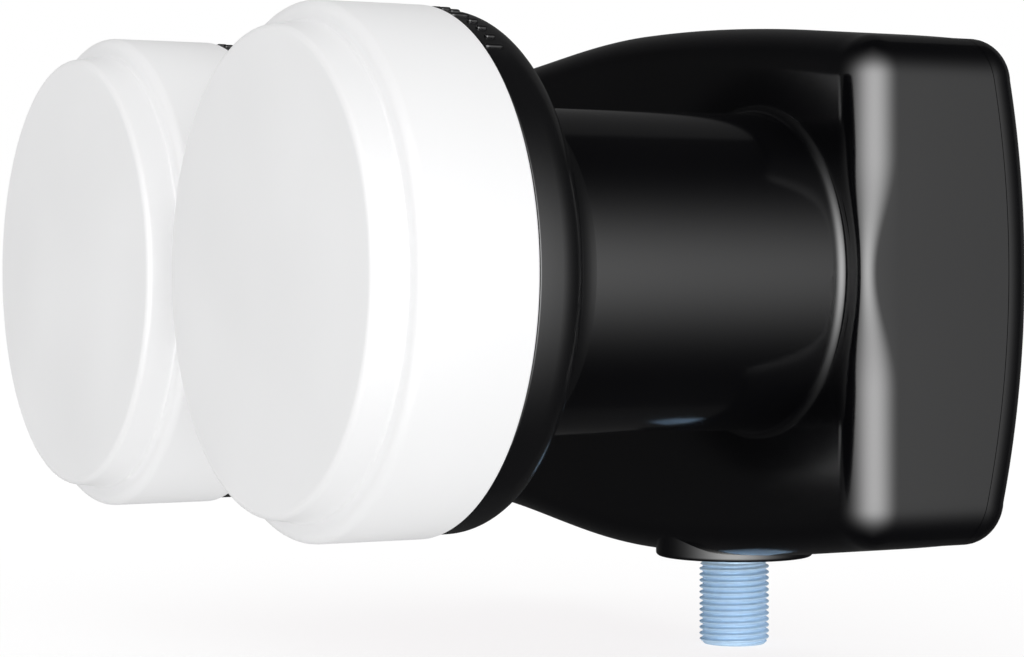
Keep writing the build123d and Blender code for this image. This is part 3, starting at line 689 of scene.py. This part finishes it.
for axis_x in AXES.values():
    section = [(NECK_RADIUS + NECK_ROOT + SUPPORT, box_front)]
    for step in range(ROOT_STEPS + 1):
        turn = math.pi / 2 * step / ROOT_STEPS
        section.append(
            (
                NECK_RADIUS + NECK_ROOT * (1 - math.sin(turn)),
                box_front - NECK_ROOT * (1 - math.cos(turn)),
            )
        )
    section.append((NECK_RADIUS, box_front - NECK_ROOT - SUPPORT))
    section.append((NECK_RADIUS, neck_end))
    section.append((NECK_RADIUS - NECK_WALL, neck_end))
    section.append((NECK_RADIUS - NECK_WALL, box_front + HOUSING_WALL))
    loops = stack_circles(build, axis_x, section)
    front_loops.append(loops[0])
    inner_loops.append(loops[-1])
fill_flat(build, *front_loops)
fill_flat(build, *inner_loops)

# The connector boss is part of the same moulding
BOSS_RADIUS = 10.6
BOSS_HOLE = 5.75
BOSS_TOP = -31.0
BOSS_HOLE_ROUND = 0.25
BOSS_RIM_ROUND = 0.5
BOSS_STEPS = 128
low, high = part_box("connector_shell")
connector_place = Vector(((low.x + high.x) / 2 / MM, (low.y + high.y) / 2 / MM, 0))
boss_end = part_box("front_housing")[0].z / MM
section = rounded(
    (
        (BOSS_HOLE, boss_end, BOSS_HOLE_ROUND),
        (BOSS_RADIUS, boss_end, BOSS_RIM_ROUND),
        (BOSS_RADIUS, BOSS_TOP, 0),
        (BOSS_HOLE, BOSS_TOP, 0),
    )
)
turn_profile(build, section, connector_place, Vector((0, 0, 1)), steps=BOSS_STEPS)

housing_black = finished(
    "housing_black",
    moulded_skin,
    {
        "Color": (0.0015, 0.0015, 0.002, 1),
        "Tone": 0.2,
        "Grain Size": 0.5,
        "Grain Depth": 0.0003,
        "Ripple Size": 16.0,
        "Ripple Depth": 0.008,
        "Roughness": 0.13,
        "Unevenness": 0.05,
    },
)
housing = finish_mesh(build, "housing_moulding", housing_black)
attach(housing, "root")
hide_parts("front_housing")

# Rear cover
# The crowned back of the box, a shell in the same black plastic. A tongue that carries a seal runs into the
# housing, and the cover snaps in there with no screws.
TONGUE_INSET = 2.1
TONGUE_DEPTH = 3.0
TONGUE_WALL = 1.6
COVER_BACK_EXTRA = 0.5       # how much thicker than the housing's wall the crowned back is
LEVEL = 0.0001               # outline points whose heights differ by less than this are level

build = bmesh.new()


def rear_section(z, normal, turn_share):
    """Inset and depth on the rear edge's round, from the side wall (0) to the crowned back (1)."""
    slope = normal.y * z / math.sqrt(CROWN_RADIUS**2 - z**2)
    line_angle = math.atan(slope)
    start = math.pi
    end = math.pi / 2 + line_angle
    angle = start + (end - start) * turn_share
    base = crown(box_back, z)
    centre_depth = base + slope * REAR_EDGE - REAR_EDGE / math.cos(line_angle)
    return REAR_EDGE + REAR_EDGE * math.cos(angle), centre_depth + REAR_EDGE * math.sin(angle)


def cover_ring(build, share):
    """A closed ring of vertices, a share of the way round the rear edge."""
    ring = []
    for x, z, normal in OUTLINE:
        inset, depth = rear_section(z, normal, share)
        ring.append(build.verts.new((x - normal.x * inset + HOUSING_MIDDLE, depth, z - normal.y * inset)))
    return ring


def fill_crowned(build, ring):
    """Fills a crowned loop with strips straight across, because the back is curved only up and down."""
    count = len(right_half)
    right = ring[:count]
    left = [ring[0]] + list(reversed(ring[count:])) + [ring[count - 1]]
    build.faces.new((right[0], right[1], left[1]))
    index = 1
    while index < count - 2:
        after = index + 1
        while after < count - 2 and abs(right[after].co.z - right[index].co.z) < LEVEL:
            after += 1
        corners = left[index:after + 1] + right[index:after + 1][::-1]
        build.faces.new(corners)
        index = after
    build.faces.new((left[count - 2], right[count - 2], right[count - 1]))


rings = [
    add_ring(build, lambda x, z: HOUSING_WALL, lambda x, z, pz: crown(seam, z)),
    add_ring(build, lambda x, z: 0, lambda x, z, pz: crown(seam, z)),
]
for step in range(EDGE_STEPS + 1):
    rings.append(cover_ring(build, step / EDGE_STEPS))
bridge_rings(build, rings)
fill_crowned(build, rings[-1])
inner = [rings[0]]
for inset, depth in (
    (TONGUE_INSET, seam),
    (TONGUE_INSET, seam - TONGUE_DEPTH),
    (TONGUE_INSET + TONGUE_WALL, seam - TONGUE_DEPTH),
    (TONGUE_INSET + TONGUE_WALL, box_back - HOUSING_WALL - COVER_BACK_EXTRA),
):
    inner.append(add_ring(build, lambda x, z: inset, lambda x, z, pz: crown(depth, pz)))
bridge_rings(build, inner)
fill_crowned(build, inner[-1])
cover = finish_mesh(build, "cover_moulding", housing_black)
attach(cover, "root")
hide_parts("rear_cover")

# Connector shell
# The F connector's outer part, turned in metal and plated a pale blue-white, with a rolled thread and a
# slim undercut. Its flange lies in the housing's boss and its spigot is pressed into the casting.
THREAD_RADIUS = 4.7
THREAD_DEPTH = 0.46
THREAD_PITCH = 0.794
THREAD_CHAMFER = 0.6
THREAD_RELIEF = 0.5
THREAD_STEPS = 96
THREAD_ROWS = 16
THREAD_FLAT = 0.1            # share of each flank that stays flat at the root, and again at the crest
THREAD_MERGE = 0.001
ROUNDING_GUARD = 0.0001      # share of a turn that keeps its first row from counting as the turn before
SEAL_STAND = 0.45
RELIEF_SHOW = 0.35
SHELL_WALL = 1.35
SPIGOT_WALL = 0.85
SPIGOT_LENGTH = 5.5
FLANGE_THICKNESS = 1.6
CONNECTOR_EDGE = 0.15

# A rolled thread between two ends: rows of a sheet follow the helix, and each row has its own height
rolled_thread, given, result = start_group(
    "rolled_thread",
    "GeometryNodeTree",
    {
        "Body": ("Geometry", None),
        "Steps": ("Int", 96),
        "Rows": ("Int", 16),
        "Pitch": ("Float", 0.001),
        "Radius": ("Float", 0.005),
        "Depth": ("Float", 0.0005),
        "Low End": ("Float", 0.0),
        "Low Radius": ("Float", 0.004),
        "High End": ("Float", 0.01),
        "High Radius": ("Float", 0.004),
        "Place": ("Vector", (0, 0, 0)),
        "Material": ("Material", None),
    },
    {"Geometry": "Geometry"},
)
thread_span = compute(
    rolled_thread,
    "CEIL",
    compute(
        rolled_thread,
        "DIVIDE",
        compute(rolled_thread, "SUBTRACT", given["High End"], given["Low End"]),
        given["Pitch"],
    ),
)
thread_turns = compute(rolled_thread, "ADD", thread_span, 2.0)
thread_rows = compute(rolled_thread, "MULTIPLY_ADD", thread_turns, given["Rows"], 1.0)
thread_sheet = add_node(
    rolled_thread,
    "GeometryNodeMeshGrid",
    {
        "Size X": 1.0,
        "Size Y": thread_turns,
        "Vertices X": compute(rolled_thread, "ADD", given["Steps"], 1.0),
        "Vertices Y": thread_rows,
    },
)
sheet_point = add_node(rolled_thread, "GeometryNodeInputPosition").outputs[0]
sheet_place = add_node(rolled_thread, "ShaderNodeSeparateXYZ", {0: sheet_point})
round_share = compute(rolled_thread, "ADD", sheet_place.outputs["X"], 0.5)
round_angle = compute(rolled_thread, "MULTIPLY", round_share, 2 * math.pi)
row_turn = compute(rolled_thread, "MULTIPLY_ADD", thread_turns, 0.5, sheet_place.outputs["Y"])
row_climb = compute(rolled_thread, "ADD", compute(rolled_thread, "ADD", row_turn, round_share), -1.0)
free_height = compute(rolled_thread, "MULTIPLY_ADD", row_climb, given["Pitch"], given["Low End"])
height_limits = {0: free_height, 1: given["Low End"], 2: given["High End"]}
height = add_node(rolled_thread, "ShaderNodeClamp", height_limits).outputs[0]
row_phase = compute(rolled_thread, "FRACT", compute(rolled_thread, "ADD", row_turn, ROUNDING_GUARD))
crest_side = compute(rolled_thread, "MULTIPLY_ADD", row_phase, 2.0, -1.0)
crest_share = compute(rolled_thread, "ABSOLUTE", crest_side)
flank = add_node(
    rolled_thread,
    "ShaderNodeMapRange",
    {
        "Value": crest_share,
        "From Min": THREAD_FLAT,
        "From Max": 1 - THREAD_FLAT,
        "To Min": -1.0,
        "To Max": 0.0,
    },
    interpolation_type="SMOOTHSTEP",
)
thread_radius = compute(rolled_thread, "MULTIPLY_ADD", flank.outputs[0], given["Depth"], given["Radius"])
from_low = compute(rolled_thread, "SUBTRACT", height, given["Low End"])
low_cone = compute(rolled_thread, "ADD", from_low, given["Low Radius"])
to_high = compute(rolled_thread, "SUBTRACT", given["High End"], height)
high_cone = compute(rolled_thread, "ADD", to_high, given["High Radius"])
cut_low = compute(rolled_thread, "MINIMUM", thread_radius, low_cone)
row_radius = compute(rolled_thread, "MINIMUM", cut_low, high_cone)
on_cylinder = add_node(
    rolled_thread,
    "ShaderNodeCombineXYZ",
    {
        "X": compute(rolled_thread, "MULTIPLY", compute(rolled_thread, "COSINE", round_angle), row_radius),
        "Y": compute(rolled_thread, "MULTIPLY", compute(rolled_thread, "SINE", round_angle), row_radius),
        "Z": height,
    },
)
thread_place = add_node(
    rolled_thread, "ShaderNodeVectorMath", {0: on_cylinder.outputs[0], 1: given["Place"]}, operation="ADD"
)
thread_skin = add_node(
    rolled_thread,
    "GeometryNodeSetPosition",
    {"Geometry": thread_sheet.outputs[0], "Position": thread_place.outputs[0]},
)
thread_joined = add_node(rolled_thread, "GeometryNodeJoinGeometry")
rolled_thread.links.new(thread_skin.outputs[0], thread_joined.inputs[0])
rolled_thread.links.new(given["Body"], thread_joined.inputs[0])
thread_closed = add_node(
    rolled_thread,
    "GeometryNodeMergeByDistance",
    {"Geometry": thread_joined.outputs[0], "Distance": THREAD_MERGE * MM},
)
thread_whole = add_node(
    rolled_thread, "GeometryNodeRealizeInstances", {"Geometry": thread_closed.outputs[0]}
)
thread_finish = add_node(
    rolled_thread,
    "GeometryNodeSetMaterial",
    {"Geometry": thread_whole.outputs[0], "Material": given["Material"]},
)
rolled_thread.links.new(thread_finish.outputs[0], result["Geometry"])

# What a metal piece takes from its making: grain from casting or plating, and fine marks that run round a
# turned one
metal_skin, given, result = start_group(
    "metal_skin",
    "ShaderNodeTree",
    {
        "Color": ("Color", (0.7, 0.7, 0.7, 1)),
        "Tone": ("Float", 0.1),
        "Grain Size": ("Float", 0.4),
        "Grain Depth": ("Float", 0.002),
        "Axis": ("Vector", (0, 0, 1)),
        "Mark Pitch": ("Float", 0.1),
        "Mark Depth": ("Float", 0.001),
        "Roughness": ("Float", 0.3),
        "Unevenness": ("Float", 0.1),
    },
    {"Color": "Color", "Roughness": "Float", "Height": "Float"},
)
metal_place = add_node(metal_skin, "ShaderNodeTexCoord").outputs["Object"]
along_axis = add_node(
    metal_skin, "ShaderNodeVectorMath", {0: metal_place, 1: given["Axis"]}, operation="DOT_PRODUCT"
).outputs["Value"]
mark_place = add_node(metal_skin, "ShaderNodeCombineXYZ", {"Z": along_axis}).outputs[0]
metal_marks = noise(metal_skin, given["Mark Pitch"], detail=2.0, place=mark_place)
metal_grain = noise(metal_skin, given["Grain Size"])
metal_height = compute(
    metal_skin,
    "MULTIPLY_ADD",
    metal_marks,
    given["Mark Depth"],
    compute(metal_skin, "MULTIPLY", metal_grain, given["Grain Depth"]),
)
metal_uneven = compute(metal_skin, "ADD", metal_grain, compute(metal_skin, "MULTIPLY", metal_marks, 0.5))
metal_colour = shaded(metal_skin, given["Color"], metal_uneven, given["Tone"])
metal_rough = compute(metal_skin, "MULTIPLY_ADD", metal_uneven, given["Unevenness"], given["Roughness"])
metal_skin.links.new(metal_colour, result["Color"])
metal_skin.links.new(metal_rough, result["Roughness"])
metal_skin.links.new(compute(metal_skin, "MULTIPLY", metal_height, MM), result["Height"])

shell_plating = finished(
    "shell_plating",
    metal_skin,
    {
        "Color": (0.44, 0.61, 0.79, 1),
        "Tone": 0.2,
        "Grain Size": 0.8,
        "Grain Depth": 0.002,
        "Axis": (0, 0, 1),
        "Mark Pitch": 0.08,
        "Mark Depth": 0.0006,
        "Roughness": 0.5,
        "Unevenness": 0.12,
    },
    Metallic=0.08,
)

low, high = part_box("connector_shell")
shell_end = low.z / MM
spigot_top = high.z / MM
flange_radius = (high.x - low.x) / 2 / MM
flange_top = spigot_top - SPIGOT_LENGTH
flange_low = flange_top - FLANGE_THICKNESS
thread_top = boss_end - SEAL_STAND - RELIEF_SHOW
shell_bore = THREAD_RADIUS - SHELL_WALL
relief_radius = THREAD_RADIUS - THREAD_RELIEF
build = bmesh.new()
section = (
    (relief_radius, thread_top),
    (relief_radius, flange_low),
    (flange_radius - CONNECTOR_EDGE, flange_low),
    (flange_radius, flange_low + CONNECTOR_EDGE),
    (flange_radius, flange_top - CONNECTOR_EDGE),
    (flange_radius - CONNECTOR_EDGE, flange_top),
    (shell_bore + SPIGOT_WALL, flange_top),
    (shell_bore + SPIGOT_WALL, spigot_top - CONNECTOR_EDGE),
    (shell_bore + SPIGOT_WALL - CONNECTOR_EDGE, spigot_top),
    (shell_bore, spigot_top),
    (shell_bore, shell_end + CONNECTOR_EDGE),
    (shell_bore + CONNECTOR_EDGE, shell_end),
    (THREAD_RADIUS - THREAD_CHAMFER, shell_end),
)
turn_profile(build, section, connector_place, Vector((0, 0, 1)), steps=THREAD_STEPS, closed=False)
shell = finish_mesh(build, "connector_shell_threaded", shell_plating)
run_tree(
    shell,
    rolled_thread,
    {
        "Steps": THREAD_STEPS,
        "Rows": THREAD_ROWS,
        "Pitch": THREAD_PITCH * MM,
        "Radius": THREAD_RADIUS * MM,
        "Depth": THREAD_DEPTH * MM,
        "Low End": shell_end * MM,
        "Low Radius": (THREAD_RADIUS - THREAD_CHAMFER) * MM,
        "High End": thread_top * MM,
        "High Radius": relief_radius * MM,
        "Place": connector_place * MM,
        "Material": shell_plating,
    },
)
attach(shell, "root")
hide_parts("connector_shell")

# Connector seal
# A soft pale beige ring round the root of the thread. It is squeezed between the shell's flange and the
# plug.
SEAL_RADIUS = 5.7
SEAL_GAP = 0.05
SEAL_RIM_ROUND = 0.3
SEAL_EDGE_ROUND = 0.1

seal_beige = finished(
    "seal_beige",
    moulded_skin,
    {
        "Color": (0.47, 0.4, 0.33, 1),
        "Tone": 0.15,
        "Grain Size": 0.2,
        "Grain Depth": 0.004,
        "Ripple Size": 3.0,
        "Ripple Depth": 0.01,
        "Roughness": 0.6,
        "Unevenness": 0.15,
    },
)
build = bmesh.new()
section = rounded(
    (
        (relief_radius + SEAL_GAP, boss_end - SEAL_STAND, SEAL_EDGE_ROUND),
        (SEAL_RADIUS, boss_end - SEAL_STAND, SEAL_RIM_ROUND),
        (SEAL_RADIUS, flange_low, SEAL_EDGE_ROUND),
        (relief_radius + SEAL_GAP, flange_low, SEAL_EDGE_ROUND),
    )
)
turn_profile(build, section, connector_place, Vector((0, 0, 1)), steps=THREAD_STEPS)
seal = finish_mesh(build, "connector_seal_ring", seal_beige)
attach(seal, "root")
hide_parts("connector_seal")


def dress(material, *names):
    """Gives CAD nodes their finish."""
    for name in names:
        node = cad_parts[name]
        node.data.materials.clear()
        node.data.materials.append(material)


# Connector core
# A moulded insulator in a natural white plastic fills the shell and holds the tinned bronze contact, whose
# end is slit into springs that grip the cable's core.
dress(
    finished(
        "insulator_white",
        moulded_skin,
        {
            "Color": (0.78, 0.77, 0.72, 1),
            "Tone": 0.05,
            "Grain Size": 0.15,
            "Grain Depth": 0.002,
            "Ripple Size": 2.0,
            "Ripple Depth": 0.005,
            "Roughness": 0.45,
            "Unevenness": 0.1,
        },
    ),
    "connector_insulator",
)
dress(
    finished(
        "contact_tin",
        metal_skin,
        {
            "Color": (0.62, 0.58, 0.5, 1),
            "Tone": 0.15,
            "Grain Size": 0.1,
            "Grain Depth": 0.001,
            "Axis": (0, 0, 1),
            "Mark Pitch": 0.05,
            "Mark Depth": 0.001,
            "Roughness": 0.3,
            "Unevenness": 0.15,
        },
        Metallic=1.0,
    ),
    "connector_contact",
)

# Soft seals
# Two black rubber rings in the collars' grooves keep water out of the caps, and a rubber cord lies in the
# groove of the rear cover's tongue.
dress(
    finished(
        "seal_rubber",
        moulded_skin,
        {
            "Color": (0.02, 0.02, 0.02, 1),
            "Tone": 0.3,
            "Grain Size": 0.12,
            "Grain Depth": 0.006,
            "Ripple Size": 4.0,
            "Ripple Depth": 0.02,
            "Roughness": 0.65,
            "Unevenness": 0.15,
        },
    ),
    "cap_seal_right",
    "cap_seal_left",
    "cover_seal",
)

# Horns, waveguides and screening lid
# Die-cast aluminium with a slightly grained skin. The horns are pressed on to the waveguides, whose plate
# carries the board, and the lid shuts the board in.
dress(
    finished(
        "cast_aluminium",
        metal_skin,
        {
            "Color": (0.6, 0.6, 0.61, 1),
            "Tone": 0.25,
            "Grain Size": 0.6,
            "Grain Depth": 0.02,
            "Axis": (0, 1, 0),
            "Mark Pitch": 0.6,
            "Mark Depth": 0.002,
            "Roughness": 0.42,
            "Unevenness": 0.2,
        },
        Metallic=1.0,
    ),
    "horn_right",
    "horn_left",
    "waveguide_casting",
    "shield_lid",
)

# Lid screws and tuning screws
# Eight zinc-plated steel screws go through lid and board into the casting. Two brass ones turn in bosses
# over the pucks and set the oscillators.
for screw_finish, screw_colour, screw_node in (
    ("screw_zinc", (0.6, 0.61, 0.64, 1), "lid_screws"),
    ("tuning_brass", (0.75, 0.55, 0.22, 1), "tuning_screws"),
):
    dress(
        finished(
            screw_finish,
            metal_skin,
            {
                "Color": screw_colour,
                "Tone": 0.2,
                "Grain Size": 0.3,
                "Grain Depth": 0.002,
                "Axis": (0, 1, 0),
                "Mark Pitch": 0.25,
                "Mark Depth": 0.01,
                "Roughness": 0.3,
                "Unevenness": 0.2,
            },
            Metallic=1.0,
        ),
        screw_node,
    )

# Circuit board
# A glass-fibre laminate with copper tracks under a green lacquer, cut out round the waveguides and clamped
# between casting and lid.
board_lacquer, given, result = start_group(
    "board_lacquer",
    "ShaderNodeTree",
    {
        "Color": ("Color", (0.02, 0.1, 0.04, 1)),
        "Track Color": ("Color", (0.06, 0.25, 0.09, 1)),
        "Track Size": ("Float", 4.0),
        "Track Depth": ("Float", 0.035),
        "Weave Size": ("Float", 0.5),
        "Weave Depth": ("Float", 0.004),
        "Roughness": ("Float", 0.3),
        "Unevenness": ("Float", 0.1),
    },
    {"Color": "Color", "Roughness": "Float", "Height": "Float"},
)
board_place = add_node(board_lacquer, "ShaderNodeTexCoord").outputs["Object"]
board_upright = add_node(
    board_lacquer, "ShaderNodeMapping", {"Vector": board_place, "Rotation": (math.pi / 2, 0, 0)}
).outputs[0]
board_tracks = add_node(
    board_lacquer,
    "ShaderNodeTexBrick",
    {
        "Vector": board_upright,
        "Scale": compute(board_lacquer, "DIVIDE", 1 / MM, given["Track Size"]),
        "Mortar Size": 0.06,
        "Color1": (0, 0, 0, 1),
        "Color2": (0, 0, 0, 1),
        "Mortar": (1, 1, 1, 1),
    },
)
track_mask = board_tracks.outputs["Color"]
board_weave = noise(board_lacquer, given["Weave Size"])
board_colour = add_node(
    board_lacquer,
    "ShaderNodeMix",
    {"Factor": track_mask, 6: given["Color"], 7: given["Track Color"]},
    data_type="RGBA",
)
board_height = compute(
    board_lacquer,
    "MULTIPLY_ADD",
    track_mask,
    given["Track Depth"],
    compute(board_lacquer, "MULTIPLY", board_weave, given["Weave Depth"]),
)
board_rough = compute(board_lacquer, "MULTIPLY_ADD", board_weave, given["Unevenness"], given["Roughness"])
board_lacquer.links.new(board_colour.outputs[2], result["Color"])
board_lacquer.links.new(board_rough, result["Roughness"])
board_lacquer.links.new(compute(board_lacquer, "MULTIPLY", board_height, MM), result["Height"])
dress(finished("board_green", board_lacquer, {"Roughness": 0.32}), "circuit_board")

# Probes
# Two gold-plated strips reach into each waveguide at right angles. They are soldered to the ends of the
# board's lines.
dress(
    finished(
        "probe_gold",
        metal_skin,
        {
            "Color": (0.85, 0.6, 0.22, 1),
            "Tone": 0.1,
            "Grain Size": 0.2,
            "Grain Depth": 0.002,
            "Axis": (0, 1, 0),
            "Mark Pitch": 0.2,
            "Mark Depth": 0.001,
            "Roughness": 0.25,
            "Unevenness": 0.15,
        },
        Metallic=1.0,
    ),
    "probes",
)

# Chips, transistors, regulator and pucks
# Black epoxy packages soldered on the board, and two glued pucks of fired ceramic that set the oscillators.
for package_name, package_colour, package_grain, package_rough, package_nodes in (
    ("epoxy_black", (0.015, 0.015, 0.016, 1), 0.12, 0.55, ("transistors", "control_chips", "regulator")),
    ("puck_ceramic", (0.62, 0.5, 0.36, 1), 0.08, 0.7, ("resonators",)),
):
    dress(
        finished(
            package_name,
            moulded_skin,
            {
                "Color": package_colour,
                "Tone": 0.2,
                "Grain Size": package_grain,
                "Grain Depth": 0.004,
                "Ripple Size": 2.5,
                "Ripple Depth": 0.004,
                "Roughness": package_rough,
                "Unevenness": 0.15,
            },
        ),
        *package_nodes,
    )

# Floor
# A plain white sheet just under the connector. The camera sees it nearly as white as the backdrop, with the
# object's soft shadow on it, and it hides neither the lamp nor the tent from the object.
FLOOR_REACH = 4.0
FLOOR_DROP = 0.1
FLOOR_GLOW = (0.86, 0.838, 0.845, 1)
FLOOR_SHADE = (0.155, 0.177, 0.17, 1)

floor_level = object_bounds()[0][2] - FLOOR_DROP * MM
build = bmesh.new()
for corner_x, corner_y in ((-1, -1), (1, -1), (1, 1), (-1, 1)):
    build.verts.new((corner_x * FLOOR_REACH, corner_y * FLOOR_REACH, floor_level))
build.faces.new(build.verts)
floor_mesh = bpy.data.meshes.new("floor")
build.to_mesh(floor_mesh)
build.free()
floor = bpy.data.objects.new("floor", floor_mesh)
bpy.context.scene.collection.objects.link(floor)
floor_white = bpy.data.materials.new("floor_white")
floor_white.use_nodes = True
tree = floor_white.node_tree
tree.nodes.clear()
path = add_node(tree, "ShaderNodeLightPath").outputs
seen_straight = compute(tree, "MAXIMUM", path["Is Camera Ray"], path["Is Transmission Ray"])
glow = add_node(tree, "ShaderNodeEmission", {"Color": FLOOR_GLOW}).outputs[0]
shade = add_node(tree, "ShaderNodeBsdfDiffuse", {"Color": FLOOR_SHADE}).outputs[0]
clear = add_node(tree, "ShaderNodeBsdfTransparent").outputs[0]
lit = add_node(tree, "ShaderNodeAddShader", {0: glow, 1: shade}).outputs[0]
seen = add_node(tree, "ShaderNodeMixShader", {0: seen_straight, 1: clear, 2: lit}).outputs[0]
add_node(tree, "ShaderNodeOutputMaterial", {"Surface": seen})
floor_white.cycles.emission_sampling = "NONE"
floor_mesh.materials.append(floor_white)

# Studio
# A white tent lights the object from all round, a little more from its right. Glossy surfaces see a large
# soft lamp beside the camera, which fades out sideways and up and down, and a dim room with a faintly lit
# backdrop.
TENT_LIGHT = 0.93
TENT_SIDE = 0.5
SIDE_TURN = math.radians(-8)
SIDE_FOCUS = 2.0
LAMP_PEAK = 10.5
LAMP_TURN = math.radians(-32)
LAMP_RISE = math.radians(1)
LAMP_WIDTH = math.radians(33)
LAMP_HEIGHT = math.radians(27)
ROOM_LIGHT = 0.018
BACKDROP_LIGHT = 0.06
BACKDROP_TURN = math.radians(111)
BACKDROP_EDGE = 0.02         # half the width of its edge, as a share of a direction's length
BACKDROP_SIDE_FADE = 0.3
BACKDROP_LOW_FADE = 0.2
BACKDROP_LOW_SHARE = 0.3     # what is left of its light that far below the horizon

world = bpy.data.worlds.new("studio")
bpy.context.scene.world = world
world.use_nodes = True
tree = world.node_tree
tree.nodes.clear()
path = add_node(tree, "ShaderNodeLightPath").outputs
heading = add_node(tree, "ShaderNodeTexCoord").outputs["Generated"]
parts = add_node(tree, "ShaderNodeSeparateXYZ", {0: heading}).outputs


def towards(x, y, z):
    """How far a direction points along (x, y, z)."""
    reach = add_node(tree, "ShaderNodeVectorMath", {0: heading, 1: (x, y, z)}, operation="DOT_PRODUCT")
    return reach.outputs["Value"]


side_share = compute(tree, "MAXIMUM", towards(math.cos(SIDE_TURN), math.sin(SIDE_TURN), 0), 0.0)
side_light = compute(tree, "POWER", side_share, SIDE_FOCUS)
tent = compute(tree, "MULTIPLY_ADD", side_light, TENT_SIDE, TENT_LIGHT)
lamp_ahead = towards(math.cos(LAMP_TURN), math.sin(LAMP_TURN), 0)
lamp_aside = towards(-math.sin(LAMP_TURN), math.cos(LAMP_TURN), 0)
turn_share = compute(tree, "DIVIDE", compute(tree, "ARCTAN2", lamp_aside, lamp_ahead), LAMP_WIDTH)
rise = compute(tree, "SUBTRACT", compute(tree, "ARCSINE", parts["Z"]), LAMP_RISE)
rise_share = compute(tree, "DIVIDE", rise, LAMP_HEIGHT)
spread = compute(
    tree, "MULTIPLY_ADD", turn_share, turn_share, compute(tree, "MULTIPLY", rise_share, rise_share)
)
fade = compute(tree, "EXPONENT", compute(tree, "MULTIPLY", spread, -0.5))
lamp = compute(tree, "MULTIPLY", fade, LAMP_PEAK)
behind = compute(
    tree,
    "MULTIPLY_ADD",
    compute(tree, "ABSOLUTE", parts["Z"]),
    math.cos(BACKDROP_TURN),
    compute(tree, "MULTIPLY", parts["X"], -math.sin(BACKDROP_TURN)),
)


def fade_in(value, start, end, least=0.0):
    """A share that grows from least to 1 while the value goes from start to end."""
    limits = {"Value": value, "From Min": start, "From Max": end, "To Min": least}
    return add_node(tree, "ShaderNodeMapRange", limits).outputs[0]


far_side = fade_in(parts["Y"], -BACKDROP_SIDE_FADE, BACKDROP_SIDE_FADE)
backdrop = fade_in(behind, -BACKDROP_EDGE, BACKDROP_EDGE)
upper_part = fade_in(parts["Z"], -BACKDROP_LOW_FADE, 0.0, BACKDROP_LOW_SHARE)
backdrop_share = compute(tree, "MULTIPLY", compute(tree, "MULTIPLY", backdrop, far_side), upper_part)
backdrop_light = compute(tree, "MULTIPLY", backdrop_share, BACKDROP_LIGHT)
room = compute(tree, "ADD", compute(tree, "ADD", backdrop_light, ROOM_LIGHT), lamp)
seen_light = add_node(
    tree, "ShaderNodeMix", {"Factor": path["Is Glossy Ray"], "A": tent, "B": room}, data_type="FLOAT"
).outputs["Result"]
seen_straight = compute(tree, "MAXIMUM", path["Is Camera Ray"], path["Is Transmission Ray"])
strength = add_node(
    tree, "ShaderNodeMix", {"Factor": seen_straight, "A": seen_light, "B": 1.0}, data_type="FLOAT"
).outputs["Result"]
background = add_node(tree, "ShaderNodeBackground", {"Color": (1, 1, 1, 1), "Strength": strength})
add_node(tree, "ShaderNodeOutputWorld", {"Surface": background.outputs[0]})
